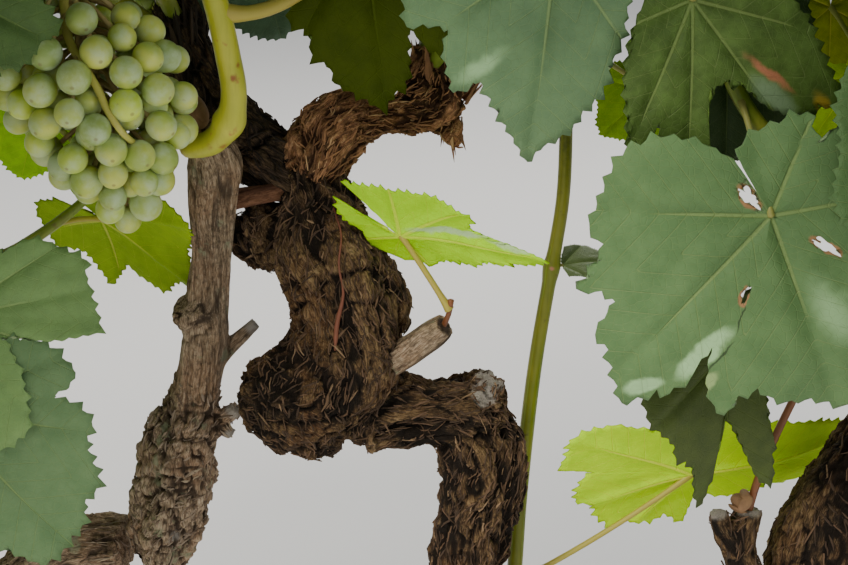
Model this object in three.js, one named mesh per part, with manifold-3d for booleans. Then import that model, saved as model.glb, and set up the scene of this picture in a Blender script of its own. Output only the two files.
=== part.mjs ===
// An old grapevine, rooted in the ground: three gnarled stems from one root crown, the two arms of its head,
// short spurs, and leafy shoots with bunches of white grapes. Millimetres, +Z up, front towards -Y.
// The origin is the middle of the flat cut under the main trunk, at ground level.
import * as THREE from "three";
import { mergeVertices } from "three/addons/utils/BufferGeometryUtils.js";
import Module from "manifold-3d";

const wasm = await Module();
wasm.setup();

// Driving dimensions
const CLEARANCE = 0.3; // between a limb and what grows from it
const INTERNODE = 68; // from one leaf of a shoot to the next
const LEAF_REACH = 90; // from the leaf stalk's end to the tip of a full-grown blade
const BLADE_THICKNESS = 2.4;
const STALK_RADIUS = 1.4;
const SHOOT_TIP_RADIUS = 1.8;
const TWIG_EVERY = 4; // a side twig at every fourth node
const TWIG_LENGTH = 120;
const TWIG_RADIUS = 2.4;
const TWIG_SIDES = 3;
const SHOOT_SIDES = 4;
const BUD_OFFSET = 10; // from a node to the leaf stalk beside it
const PETIOLE_SHARE = 0.86; // the stalk's length, as a share of the blade's reach
const SAMPLE_STEP = 0.3; // spacing of the points that stand for a blade, as a share of its reach
const ATTEMPTS = 5; // how often a leaf that does not fit is turned another way before it is left out
const BLADE_ROOM = 0.115; // room round each of those points, as a share of the reach
const GROUND_DEPTH = 40; // how far the stems run on below the ground before they are cut flat

// The vine's head shows through an open window in the leaves, as wide as it looks from this point in front.
const WINDOW = { eye: [0, -856, 778], pitch: 18, halfWidth: 0.242, halfHeight: 0.163 };

// A limb is a list of stations along its middle: x, y, z and the radius there.
const TRUNK = [
  [
    [0, 0, -GROUND_DEPTH, 74], [0, 0, 0, 64], [4, 2, 36, 46], [11, 6, 80, 36], [2, 10, 138, 32], [-9, 6, 196, 33],
    [-2, 0, 250, 27], [16, 0, 300, 24], [21, 0, 344, 21], [25, -4, 368, 20], [29, -6, 390, 22], [27, -5, 416, 22],
    [20, -5, 434, 15],
  ],
  [[38, -6, 428, 14], [24, -5, 431, 20], [1, -8, 434, 18], [-20, -10, 438, 20], [-42, -15, 448, 24]],
  [
    [-42, -17, 430, 20], [-37, -14, 456, 26], [-37, -12, 480, 27], [-41, -8, 502, 26], [-50, -2, 522, 24],
    [-55, 2, 542, 20], [-58, 4, 560, 15],
  ],
  [[26, -6, 434, 11], [34, -8, 452, 8]],
  [[4, -4, 66, 26], [26, -40, 14, 24], [40, -66, -GROUND_DEPTH, 20]],
  [[-2, 6, 60, 24], [-14, 44, 12, 23], [-22, 70, -GROUND_DEPTH, 20]],
];
// Burls and swellings on the trunk: middle and three half-widths.
const TRUNK_BURLS = [
  [-61, -24, 447, 30, 27, 31], [-48, -22, 466, 24, 22, 22], [-22, -10, 494, 15, 18, 22],
  [-80, 6, 523, 17, 15, 19], [-26, -6, 190, 24, 24, 30],
];
const LEFT_STEM_FOOT = [
  [
    [-44, 12, -GROUND_DEPTH, 40], [-50, 14, 0, 36], [-78, 18, 34, 28], [-122, 18, 72, 25], [-152, 24, 128, 25],
    [-196, 34, 176, 24], [-214, 34, 236, 20], [-220, 30, 286, 18],
  ],
];
const LEFT_STEM_FOOT_BURLS = [[-150, 16, 116, 27, 26, 22]];
const LEFT_STEM_ELBOW = [
  [[-221, 30, 276, 18], [-222, 29, 302, 17], [-212, 24, 330, 16], [-186, 16, 348, 14], [-158, 9, 352, 14]],
];
const LEFT_STEM = [
  [
    [-140, 7, 344, 15], [-135, 5, 366, 20], [-128, 2, 391, 20], [-124, 0, 415, 19], [-117, 0, 436, 13],
    [-113, -2, 452, 11.5], [-109, -4, 476, 11.5], [-108, -6, 493, 10.5], [-105, -8, 517, 9], [-103, -12, 546, 11.5],
    [-101, -15, 566, 13], [-105, -20, 584, 9],
  ],
  [[-116, -1, 440, 6], [-101, 0, 463, 4.4], [-85, 2, 478, 3]],
  [[-112, -2, 420, 7], [-103, -2, 428, 5], [-95, -4, 434, 3.4]],
  [[-104, -3, 424, 5], [-98, -6, 420, 2.4]],
];
const LEFT_STEM_BURLS = [[-112, -8, 488, 14, 10, 8], [-131, 3, 372, 20, 19, 16]];
const RIGHT_STEM = [
  [
    [40, 10, -GROUND_DEPTH, 46], [48, 12, 0, 42], [76, 18, 44, 32], [112, 24, 104, 31], [170, 18, 162, 30],
    [186, 10, 236, 28], [207, 8, 306, 31], [217, 3, 360, 33], [231, 0, 392, 31], [246, 2, 424, 25], [254, 4, 450, 18],
    [258, 4, 466, 11],
  ],
  [[192, -8, 322, 12], [170, -20, 342, 9.5], [160, -25, 366, 8.5], [164, -26, 388, 7]],
  [[161, -26, 362, 7], [151, -30, 378, 5.5], [147, -32, 389, 4.2]],
];
const RIGHT_STEM_BURLS = [[224, -8, 384, 27, 24, 20], [168, 10, 196, 32, 26, 28]];
const LEFT_ARM = [
  [
    [-56, 5, 548, 15], [-68, 9, 556, 16], [-82, 15, 565, 16.5], [-99, 21, 577, 16.5], [-112, 24, 592, 15.5],
    [-118, 26, 612, 14], [-122, 29, 632, 10.5], [-123, 30, 645, 5],
  ],
];
const RIGHT_ARM = [
  [
    [-56, 4, 553, 18], [-49, 6, 566, 18.5], [-38, 9, 577, 16.5], [-26, 12, 580, 12], [-16, 14, 580, 8.5],
    [-7, 14, 584, 13], [3, 14, 591, 17.5], [3, 15, 604, 13], [0, 16, 617, 6],
  ],
  [[6, 14, 592, 12], [16, 14, 596, 6], [24, 13, 600, 2]],
  [[6, 14, 586, 12], [12, 14, 576, 7], [17, 14, 567, 2.4]],
];
const CROSS_BRANCH = [[[-106, -6, 541, 6], [-92, -4, 544, 5], [-76, -2, 547, 4.6], [-58, 1, 551, 6]]];
const CENTRE_SPUR = [[[-34, -12, 452, 9], [-22, -20, 463, 9], [-9, -26, 472, 8], [3, -31, 483, 7.4], [10, -34, 489, 6]]];

// A shoot leaves its spur through its guide points and then goes on by rule: heading is the way it points seen from
// above, in degrees from +X, rise is its slope, droop is how far that slope falls by its tip. A leaf that has its
// own place is listed by its stalk's start and end, where its midrib points, which way its face looks, and its reach.
const SHOOTS = [
  {
    name: "foliage_left_stem", seed: 11, from: "left_stem", radius: 6.4,
    guide: [[-103, -22, 576], [-110, -31, 577], [-99, -38, 581], [-90, -43, 592], [-87, -46, 606], [-89, -48, 624],
      [-92, -50, 642], [-98, -54, 668]],
    heading: 214, rise: 78, droop: 62, length: 500,
    leaves: [
      { start: [-92, -50, 644], end: [-27, -30, 680], tip: [0.16, -0.08, -1], face: [-0.2, -1, 0.1], reach: 88 },
      { start: [-96, -53, 658], end: [-84, 8, 672], tip: [0.3, 0.2, -1], face: [0.3, -1, 0.25], reach: 58 },
    ],
  },
  {
    name: "foliage_grapes_left", seed: 12, from: "left_arm", radius: 4.4,
    guide: [[-121, 26, 626], [-134, -8, 668], [-150, -46, 700], [-178, -86, 712]],
    heading: 218, rise: 8, droop: 92, length: 340,
    leaves: [
      { start: [-176, -84, 711], end: [-206, -96, 664], tip: [0.9, -0.1, -0.45], face: [0.1, -1, 0.3], reach: 74 },
    ],
    bunches: [{ start: [-154, -51, 701], neck: [-160, -58, 668], radius: 54, length: 130, fineness: 3,
      lean: [16, 0] }],
  },
  {
    name: "foliage_left_low", seed: 13, from: "left_arm", radius: 3.6,
    guide: [[-112, 20, 590], [-132, -2, 574], [-152, -18, 558], [-173, -28, 541], [-200, -36, 524]],
    heading: 200, rise: -20, droop: 50, length: 272, first: 1,
    leaves: [
      { start: [-200, -36, 524], end: [-216, -84, 510], tip: [1, -0.1, 0.05], face: [0.1, -1, 0.35], reach: 74 },
      { start: [-214, -40, 519], end: [-220, -98, 470], tip: [0.75, -0.1, -0.8], face: [0.05, -1, 0.25], reach: 88 },
      { start: [-178, -30, 538], end: [-160, 6, 531], tip: [0.75, 0.1, -0.5], face: [0.15, 0.75, 0.7], reach: 60 },
    ],
  },
  {
    name: "foliage_centre_spur", seed: 14, from: "centre_spur", radius: 2.6,
    guide: [[8, -32, 485], [12, -36, 496], [13, -37, 503]],
    leaves: [
      { start: [12, -36, 498], end: [-5, -30, 538], tip: [1, -0.25, -0.14], face: [0.05, 0.66, 1], reach: 74 },
    ],
  },
  {
    name: "foliage_upright", seed: 15, from: "trunk", radius: 4.6,
    guide: [[10, 22, 196], [32, 34, 222], [43, 32, 264], [48, 30, 307], [50, 34, 330], [52, 38, 363], [59, 44, 437],
      [67, 46, 493], [72, 46, 530], [73, 48, 564], [72, 50, 603], [69, 54, 664]],
    heading: 70, rise: 84, droop: 40, length: 476, first: 1,
    leaves: [
      { start: [49, 32, 316], end: [143, 34, 386], tip: [-1, -0.1, 0.06], face: [0.1, 0.8, 0.62], reach: 82 },
      { start: [66, 46, 488], end: [80, 54, 500], tip: [1, 0.3, 0.1], face: [-0.2, -0.8, 0.8], reach: 34 },
    ],
  },
  {
    name: "foliage_right_head_front", seed: 16, from: "right_arm", radius: 4.4,
    guide: [[4, 14, 606], [18, -8, 640], [30, -28, 690], [40, -48, 742]],
    heading: 262, rise: 70, droop: 112, length: 408,
    leaves: [
      { start: [30, -28, 690], end: [56, -86, 678], tip: [-0.1, -0.05, -1], face: [0.05, -1, 0.1], reach: 90 },
    ],
  },
  {
    name: "foliage_right_front", seed: 17, from: "right_stem", radius: 4.6,
    guide: [[252, 0, 448], [238, -30, 488], [206, -56, 534], [170, -68, 574], [140, -70, 610], [124, -64, 656],
      [118, -60, 712]],
    heading: 286, rise: 74, droop: 104, length: 408,
    leaves: [
      { start: [140, -70, 610], end: [150, -108, 565], tip: [0.3, -0.1, -1], face: [-0.05, -1, 0.1], reach: 96 },
      { start: [121, -62, 684], end: [128, -86, 664], tip: [-0.12, -0.05, -1], face: [0.1, -1, 0.15], reach: 88 },
      { start: [206, -56, 534], end: [226, -104, 606], tip: [0.1, -0.1, -1], face: [0.25, -1, 0.2], reach: 70 },
    ],
  },
  {
    name: "foliage_right_spur", seed: 18, from: "right_stem", radius: 3.8,
    guide: [[163, -26, 382], [167, -27, 402], [174, -28, 426], [184, -30, 454], [197, -34, 492], [222, -44, 536]],
    heading: -40, rise: 34, droop: 110, length: 340,
    leaves: [
      { start: [184, -30, 454], end: [146, -62, 478], tip: [0.1, -0.06, -1], face: [0.35, -1, 0.1], reach: 70 },
    ],
  },
  {
    name: "foliage_right_out", seed: 19, from: "right_stem", radius: 4.4,
    guide: [[260, 6, 456], [286, 10, 486]],
    heading: 6, rise: 62, droop: 120, length: 408, bunchAt: 1,
  },
  {
    name: "foliage_right_back", seed: 20, from: "right_stem", radius: 4.4,
    guide: [[256, 10, 458], [264, 34, 500]],
    heading: 62, rise: 66, droop: 100, length: 544,
  },
  {
    name: "foliage_right_up", seed: 21, from: "right_stem", radius: 4.4,
    guide: [[255, 2, 462], [258, -6, 520]],
    heading: 330, rise: 82, droop: 44, length: 612,
  },
  {
    name: "foliage_right_front_low", seed: 22, from: "right_stem", radius: 4.2,
    guide: [[258, -6, 454], [280, -34, 484]],
    heading: 304, rise: 46, droop: 104, length: 408,
  },
  {
    name: "foliage_right_top", seed: 29, from: "right_stem", radius: 4.2,
    guide: [[252, 6, 462], [236, 22, 520]],
    heading: 150, rise: 84, droop: 36, length: 612,
  },
  {
    name: "foliage_left_arm_up", seed: 23, from: "left_arm", radius: 4.6,
    guide: [[-119, 33, 638], [-110, 42, 694]],
    heading: 150, rise: 84, droop: 40, length: 544,
  },
  {
    name: "foliage_left_arm_back", seed: 24, from: "left_arm", radius: 4.4,
    guide: [[-118, 34, 622], [-128, 66, 656]],
    heading: 112, rise: 60, droop: 104, length: 476, bunchAt: 1,
  },
  {
    name: "foliage_left_arm_out", seed: 25, from: "left_arm", radius: 4.4,
    guide: [[-126, 28, 618], [-164, 34, 648]],
    heading: 172, rise: 60, droop: 116, length: 476, bunchAt: 2,
  },
  {
    name: "foliage_left_front", seed: 30, from: "left_arm", radius: 4.2,
    guide: [[-127, 25, 636], [-146, 14, 694]],
    heading: 248, rise: 74, droop: 96, length: 476,
  },
  {
    name: "foliage_right_head_up", seed: 26, from: "right_arm", radius: 4.4,
    guide: [[2, 18, 610], [4, 26, 668]],
    heading: 20, rise: 84, droop: 34, length: 544,
  },
  {
    name: "foliage_right_head_back", seed: 27, from: "right_arm", radius: 4.4,
    guide: [[6, 24, 598], [14, 62, 632]],
    heading: 86, rise: 60, droop: 92, length: 476,
  },
  {
    name: "foliage_left_foot", seed: 28, from: "left_stem_elbow", radius: 4,
    guide: [[-218, 28, 300], [-246, 22, 330]],
    heading: 188, rise: 66, droop: 90, length: 408,
  },
];

// The blade's outline by half-turns from the midrib: angle in degrees and reach as a share of the tip's.
const BLADE_OUTLINE = [[0, 1], [27, 0.68], [54, 0.93], [82, 0.64], [128, 0.76], [168, 0.09], [180, 0.06]];
const BLADE_CUP = 0.2;
const BLADE_DROOP = 0.16;

const UP = new THREE.Vector3(0, 0, 1);
const radians = THREE.MathUtils.degToRad;
const vector = (p) => new THREE.Vector3(p[0], p[1], p[2]);

// Even random numbers from 0 to 1 that are the same on every run.
function seeded(seed) {
  const LARGEST = 2147483647;
  const FACTOR = 16807;
  let state = (seed * 7919 + 1) % LARGEST;
  return () => {
    state = (state * FACTOR) % LARGEST;
    return state / LARGEST;
  };
}

function direction(headingDegrees, riseDegrees) {
  const heading = radians(headingDegrees);
  const rise = radians(riseDegrees);
  return new THREE.Vector3(
    Math.cos(rise) * Math.cos(heading), Math.cos(rise) * Math.sin(heading), Math.sin(rise));
}

// Solids

function solidOf(geometry) {
  const bare = geometry.clone();
  bare.deleteAttribute("normal");
  bare.deleteAttribute("uv");
  const merged = mergeVertices(bare, 1e-4);
  const mesh = new wasm.Mesh({
    numProp: 3,
    vertProperties: new Float32Array(merged.attributes.position.array),
    triVerts: new Uint32Array(merged.index.array),
  });
  return new wasm.Manifold(mesh);
}

// A geometry whose vertices are each moved to a new place.
function shaped(geometry, place) {
  const bare = geometry.clone();
  bare.deleteAttribute("normal");
  bare.deleteAttribute("uv");
  const merged = mergeVertices(bare, 1e-4);
  const position = merged.attributes.position;
  const at = new THREE.Vector3();
  for (let i = 0; i < position.count; i++) {
    at.fromBufferAttribute(position, i);
    const moved = place(at);
    position.setXYZ(i, moved.x, moved.y, moved.z);
  }
  return merged;
}

function joined(solids) {
  let left = solids;
  while (left.length > 1) {
    const next = [];
    for (let i = 0; i < left.length; i += 2) next.push(i + 1 < left.length ? left[i].add(left[i + 1]) : left[i]);
    left = next;
  }
  return left[0];
}

// The largest piece alone, without loose scraps and with any sealed hollow filled.
function largest(solid) {
  return solid.decompose().reduce((best, piece) => (piece.volume() > best.volume() ? piece : best));
}

// Points, directions and side vectors along a curve, with no sudden turn of the sides.
function framesAlong(curve, steps) {
  const frames = [];
  let side = new THREE.Vector3(0, 1, 0);
  for (let k = 0; k <= steps; k++) {
    const tangent = curve.getTangent(k / steps);
    side = side.clone().addScaledVector(tangent, -side.dot(tangent)).normalize();
    frames.push({ at: curve.getPoint(k / steps), side, other: tangent.clone().cross(side) });
  }
  return frames;
}

// A gnarled limb: a cylinder bent along its stations, its section ridged by a few twisting lobes.
function limb(stations, grow, sides, step) {
  const LOBE = 0.1;
  const LOBE_TWIST = 5;
  const curve = new THREE.CatmullRomCurve3(stations.map(vector));
  const spans = stations.length - 1;
  const rings = Math.max(spans, Math.round(curve.getLength() / step));
  const frames = framesAlong(curve, rings);
  const radiusAt = (share) => {
    const place = Math.min(share * spans, spans - 1e-9);
    const k = Math.floor(place);
    return THREE.MathUtils.lerp(stations[k][3], stations[k + 1][3], place - k);
  };
  const cylinder = new THREE.CylinderGeometry(1, 1, 1, sides, rings);
  return solidOf(shaped(cylinder, (p) => {
    const share = p.y + 0.5;
    const frame = frames[Math.round(share * rings)];
    const angle = Math.atan2(p.z, p.x);
    const onRim = Math.hypot(p.x, p.z) > 0.5;
    const lobes = 1 + LOBE * Math.cos(3 * angle + LOBE_TWIST * share) + LOBE * 0.5 * Math.cos(5 * angle - 7 * share);
    const radius = onRim ? radiusAt(share) * lobes + grow : 0;
    return frame.at.clone()
      .addScaledVector(frame.side, -radius * Math.cos(angle))
      .addScaledVector(frame.other, radius * Math.sin(angle));
  }));
}

// A rounded swelling with an uneven surface.
function burl([x, y, z, halfX, halfY, halfZ], grow) {
  const UNEVEN = 0.09;
  return solidOf(shaped(new THREE.IcosahedronGeometry(1, 1), (p) => {
    const swell = 1 + UNEVEN * Math.sin(4 * p.x + 3 * p.z + x) * Math.cos(3 * p.y - 2 * p.x + z);
    return new THREE.Vector3(
      x + p.x * (halfX * swell + grow), y + p.y * (halfY * swell + grow), z + p.z * (halfZ * swell + grow));
  }));
}

function belowGround() {
  const SPAN = 1200;
  const box = new THREE.BoxGeometry(SPAN, SPAN, SPAN);
  box.translate(0, 0, -SPAN / 2);
  return solidOf(box);
}

// Wood: each limb as it is, and grown by the clearance to cut what meets it.
function wood(limbs, burls, sides, step, grow) {
  const SLENDER = 27;
  const SLENDER_SIDES = 7;
  return joined([
    ...limbs.map((stations, i) => limb(stations, grow, stations[0][3] < SLENDER ? Math.min(sides, SLENDER_SIDES) : sides, step)),
    ...burls.map((b) => burl(b, grow)),
  ]);
}
const WOOD = {
  trunk: { limbs: TRUNK, burls: TRUNK_BURLS, sides: 9, step: 34 },
  left_stem_foot: { limbs: LEFT_STEM_FOOT, burls: LEFT_STEM_FOOT_BURLS, sides: 8, step: 36 },
  left_stem_elbow: { limbs: LEFT_STEM_ELBOW, burls: [], sides: 8, step: 28 },
  left_stem: { limbs: LEFT_STEM, burls: LEFT_STEM_BURLS, sides: 8, step: 30 },
  right_stem: { limbs: RIGHT_STEM, burls: RIGHT_STEM_BURLS, sides: 9, step: 38 },
  left_arm: { limbs: LEFT_ARM, burls: [], sides: 8, step: 15 },
  right_arm: { limbs: RIGHT_ARM, burls: [], sides: 8, step: 13 },
  cross_branch: { limbs: CROSS_BRANCH, burls: [], sides: 6, step: 20 },
  centre_spur: { limbs: CENTRE_SPUR, burls: [], sides: 6, step: 20 },
};

// Leaves, shoots and bunches

function outlineReach(angleDegrees) {
  const turn = Math.abs(angleDegrees);
  for (let k = 1; k < BLADE_OUTLINE.length; k++) {
    const [from, near] = BLADE_OUTLINE[k - 1];
    const [to, far] = BLADE_OUTLINE[k];
    if (turn <= to) return near + ((far - near) * (turn - from)) / (to - from);
  }
  return BLADE_OUTLINE[BLADE_OUTLINE.length - 1][1];
}

const BETWEEN_LOBES = [27, 82]; // left out on a leaf that isn't seen close

// How far the blade's surface stands off its plane, all as shares of the reach: along is the way to the tip.
function bladeRelief(along, across) {
  return BLADE_CUP * (0.5 * Math.abs(across) - across * across) - BLADE_DROOP * along * Math.abs(along);
}

// A leaf: where its stalk starts and ends, and the blade's three directions.
function leafAt(start, end, tip, face, reach) {
  const along = tip.clone().normalize();
  const out = face.clone().addScaledVector(along, -face.dot(along)).normalize();
  return { start, end, along, out, across: out.clone().cross(along), reach };
}

function bladePoint(leaf, along, across) {
  const relief = bladeRelief(along, across);
  return leaf.end.clone()
    .addScaledVector(leaf.along, along * leaf.reach)
    .addScaledVector(leaf.across, across * leaf.reach)
    .addScaledVector(leaf.out, relief * leaf.reach);
}

function bladeSamples(leaf) {
  const points = [];
  for (let i = -3; i <= 3; i++) {
    for (let j = -3; j <= 3; j++) {
      const along = i * SAMPLE_STEP;
      const across = j * SAMPLE_STEP;
      const angle = THREE.MathUtils.radToDeg(Math.atan2(across, along));
      if (Math.hypot(along, across) < outlineReach(angle) + 0.05) points.push(bladePoint(leaf, along, across));
    }
  }
  return points;
}

// A leaf is one closed mesh: a blade that fans out from the stalk's end, and a four-sided stalk that runs from the
// blade's notch back into its shoot. A blade that is folded back over its stalk is closed, with the stalk joined on.
function leafSolid(leaf, grow = 0) {
  const thickness = BLADE_THICKNESS + grow;
  const stalkRadius = STALK_RADIUS + grow / 2;
  const half = BLADE_OUTLINE.filter(([angle]) => angle < 180 && (leaf.lobed || !BETWEEN_LOBES.includes(angle)));
  const turns = [...half.slice(1).reverse().map(([angle, reach]) => [-angle, reach]), ...half];
  const rim = turns.map(([angle, reach]) =>
    bladePoint(leaf, reach * Math.cos(radians(angle)), reach * Math.sin(radians(angle))));
  const last = rim.length - 1;
  const UPPER = rim.length;
  const LOWER = rim.length + 1;
  const FOOT = rim.length + 2;
  const points = [...rim, leaf.end.clone().addScaledVector(leaf.out, thickness / 2),
    leaf.end.clone().addScaledVector(leaf.out, -thickness / 2)];
  const faces = [];
  for (let k = 0; k < last; k++) faces.push([UPPER, k, k + 1], [LOWER, k + 1, k]);
  const way = leaf.end.clone().sub(leaf.start).normalize();
  const foldedBack = way.dot(leaf.along) < 0.2;
  if (foldedBack) {
    faces.push([UPPER, last, 0], [LOWER, 0, last]);
  } else {
    const across = leaf.across.clone().addScaledVector(way, -leaf.across.dot(way)).normalize();
    const up = way.clone().cross(across);
    if (up.dot(leaf.out) < 0) up.negate();
    for (const [side, sign] of [[up, -1], [across, -1], [up, 1], [across, 1]]) {
      points.push(leaf.start.clone().addScaledVector(side, sign * stalkRadius));
    }
    const mouth = [LOWER, 0, UPPER, last];
    for (let k = 0; k < 4; k++) {
      const next = (k + 1) % 4;
      faces.push([mouth[k], mouth[next], FOOT + next], [mouth[k], FOOT + next, FOOT + k]);
    }
    faces.push([FOOT, FOOT + 1, FOOT + 2], [FOOT, FOOT + 2, FOOT + 3]);
  }
  const geometry = new THREE.BufferGeometry().setFromPoints(points);
  geometry.setIndex(faces.flat());
  let solid = solidOf(geometry);
  if (solid.volume() < 0) {
    geometry.setIndex(faces.flatMap(([i, j, k]) => [i, k, j]));
    solid = solidOf(geometry);
  }
  return foldedBack ? solid.add(rod(leaf.start, leaf.end, stalkRadius, stalkRadius, 3)) : solid;
}

// A straight thin rod between two points, sunk a little into what it joins.
function rod(from, to, fromRadius, toRadius, sides) {
  const SUNK = 0.6;
  const length = from.distanceTo(to) + SUNK;
  const cylinder = new THREE.CylinderGeometry(toRadius, fromRadius, length, sides, 1);
  const heading = to.clone().sub(from).normalize();
  cylinder.applyQuaternion(new THREE.Quaternion().setFromUnitVectors(new THREE.Vector3(0, 1, 0), heading));
  const middle = from.clone().addScaledVector(heading, length / 2);
  cylinder.translate(middle.x, middle.y, middle.z);
  return solidOf(cylinder);
}

// The shoot's own line: its guide points, and then a curve that rises and droops, a little zigzag at each node.
function shootLine(shoot) {
  const ZIGZAG = 7;
  const points = shoot.guide.map(vector);
  const count = Math.round((shoot.length || 0) / INTERNODE);
  const random = seeded(shoot.seed);
  for (let k = 0; k < count; k++) {
    const share = (k + 1) / count;
    const heading = shoot.heading + (k % 2 ? ZIGZAG : -ZIGZAG) + (random() - 0.5) * 16;
    const rise = shoot.rise - shoot.droop * Math.pow(share, 1.3);
    points.push(points[points.length - 1].clone().addScaledVector(direction(heading, rise), INTERNODE));
  }
  return points;
}

// A thin stem through points, one ring at each.
function stemSolid(points, fromRadius, toRadius, sides) {
  const rings = points.length - 1;
  const frames = framesAlong(new THREE.CatmullRomCurve3(points), rings);
  const cylinder = new THREE.CylinderGeometry(1, 1, 1, sides, rings);
  return solidOf(shaped(cylinder, (p) => {
    const k = Math.round((p.y + 0.5) * rings);
    const angle = Math.atan2(p.z, p.x);
    const onRim = Math.hypot(p.x, p.z) > 0.5;
    const radius = onRim ? THREE.MathUtils.lerp(fromRadius, toRadius, k / rings) : 0;
    return points[k].clone()
      .addScaledVector(frames[k].side, -radius * Math.cos(angle))
      .addScaledVector(frames[k].other, radius * Math.sin(angle));
  }));
}

function inWindow(p) {
  const pitch = radians(WINDOW.pitch);
  const x = p.x - WINDOW.eye[0];
  const y = p.y - WINDOW.eye[1];
  const z = p.z - WINDOW.eye[2];
  const depth = y * Math.cos(pitch) - z * Math.sin(pitch);
  const height = y * Math.sin(pitch) + z * Math.cos(pitch);
  return depth > 0 && Math.abs(x) < WINDOW.halfWidth * depth && Math.abs(height) < WINDOW.halfHeight * depth;
}

// The room that is already taken: balls along the wood and the shoots, and on each blade and bunch.
const taken = [];

function takeLine(points, radius, step, owner) {
  for (let k = 1; k < points.length; k++) {
    const parts = Math.max(1, Math.round(points[k - 1].distanceTo(points[k]) / step));
    for (let i = 0; i < parts; i++) {
      taken.push({ at: points[k - 1].clone().lerp(points[k], i / parts), radius, owner });
    }
  }
}

function isFree(points, radius, owner) {
  return points.every((p) => taken.every((ball) => {
    if (ball.owner === owner) return true;
    const room = radius + ball.radius;
    return ball.at.distanceToSquared(p) > room * room;
  }));
}

// Everything that already stands, so that nothing new runs into it: owner, solid and box.
const standing = [];

function stand(solid, owner) {
  standing.push({ owner, solid, box: solid.boundingBox() });
}

function runsInto(solid, owner) {
  const box = solid.boundingBox();
  const apart = (other) => [0, 1, 2].some((i) => box.min[i] > other.box.max[i] || box.max[i] < other.box.min[i]);
  return standing.some((other) => other.owner !== owner && !apart(other) && !solid.intersect(other.solid).isEmpty());
}

function takeLeaf(leaf) {
  for (const p of bladeSamples(leaf)) taken.push({ at: p, radius: BLADE_ROOM * leaf.reach, owner: "" });
  takeLine([leaf.start.clone().lerp(leaf.end, 0.25), leaf.end], STALK_RADIUS, 12, "");
}

function leafFits(leaf, owner) {
  const blade = bladeSamples(leaf);
  const LOWEST = 150;
  if (blade.some((p) => p.z < LOWEST || inWindow(p))) return false;
  const stalk = [0.35, 0.55, 0.75].map((share) => leaf.start.clone().lerp(leaf.end, share));
  return isFree(blade, BLADE_ROOM * leaf.reach, owner) && isFree(blade, 1, "") &&
    isFree(stalk, STALK_RADIUS + 2, owner);
}

// A point on the line near one of its nodes: towards the next node, or towards the one before where it ends.
function besideNode(points, k) {
  const near = k + 1 < points.length ? points[k + 1] : points[k - 1];
  return points[k].clone().addScaledVector(near.clone().sub(points[k]).normalize(), BUD_OFFSET);
}

// A leaf near one node of a shoot: its stalk leans out to one side, and its blade hangs outwards and down.
function leafOnNode(node, heading, side, reach, random) {
  const sideways = heading.clone().cross(UP);
  if (sideways.length() < 0.3) sideways.set(node.y, -node.x, 0);
  sideways.normalize().multiplyScalar(side);
  const outwards = new THREE.Vector3(node.x, node.y, 0).normalize();
  const lean = random() - 0.5;
  const stalkWay = sideways.clone().multiplyScalar(0.85)
    .addScaledVector(heading, 0.3 + 0.5 * lean)
    .addScaledVector(outwards, 0.45)
    .addScaledVector(UP, 0.3 + 0.5 * (random() - 0.5))
    .normalize();
  const end = node.clone().addScaledVector(stalkWay, reach * PETIOLE_SHARE * (0.85 + 0.3 * random()));
  const tip = new THREE.Vector3(stalkWay.x, stalkWay.y, 0).normalize()
    .addScaledVector(outwards, 0.4)
    .addScaledVector(UP, -0.8 - 0.9 * random());
  const face = outwards.clone().multiplyScalar(0.9)
    .addScaledVector(UP, 0.3 + 0.5 * random())
    .addScaledVector(sideways, 1.1 * (random() - 0.5));
  return leafAt(node, end, tip, face, reach);
}

function nearestOnLine(points, p) {
  let best = points[0];
  for (let k = 1; k < points.length; k++) {
    const nearest = new THREE.Line3(points[k - 1], points[k]).closestPointToPoint(p, true, new THREE.Vector3());
    if (nearest.distanceTo(p) < best.distanceTo(p)) best = nearest;
  }
  return best;
}

function placedLeaves(shoot, points) {
  return (shoot.leaves || []).map((l) =>
    ({ ...leafAt(nearestOnLine(points, vector(l.start)), vector(l.end), vector(l.tip), vector(l.face), l.reach),
      lobed: true }));
}

// The shoot's leaves by rule: one at each node, left and right by turns, and a side twig with smaller leaves at
// every fourth node.
function grownLeaves(shoot, points) {
  const random = seeded(shoot.seed + 500);
  const grown = { leaves: [], twigs: [] };
  const firstNode = shoot.guide.length - (shoot.first ? 0 : 1);
  const tryLeaf = (node, heading, side, size) => {
    for (let attempt = 0; attempt < ATTEMPTS; attempt++) {
      const leaf = leafOnNode(node, heading, side, size, random);
      if (!leafFits(leaf, shoot.name) || runsInto(leafSolid(leaf, 2 * CLEARANCE), shoot.name)) continue;
      takeLeaf(leaf);
      stand(leafSolid(leaf), shoot.name);
      grown.leaves.push(leaf);
      return true;
    }
    return false;
  };
  for (let k = firstNode; k < points.length; k++) {
    const share = (k - firstNode) / (points.length - firstNode);
    const heading = points[k].clone().sub(points[k - 1]).normalize();
    const side = k % 2 ? 1 : -1;
    tryLeaf(besideNode(points, k), heading, side, LEAF_REACH * (1 - 0.45 * share * share) * (0.85 + 0.3 * random()));
    if ((k - firstNode) % TWIG_EVERY !== 1) continue;
    const twig = sideTwig(points[k], heading, -side, random);
    const stem = stemSolid(twig, TWIG_RADIUS + CLEARANCE, TWIG_RADIUS + CLEARANCE, TWIG_SIDES);
    if (!twigFits(twig, shoot.name) || runsInto(stem, shoot.name)) continue;
    takeLine(twig, TWIG_RADIUS, 14, shoot.name);
    stand(stem, shoot.name);
    const held = [1, 2].map((at) => tryLeaf(besideNode(twig, at), twig[at].clone().sub(twig[at - 1]).normalize(),
      at % 2 ? side : -side, LEAF_REACH * (0.8 - 0.1 * at)));
    if (held.some((fits) => fits)) grown.twigs.push(twig);
  }
  return grown;
}

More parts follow.
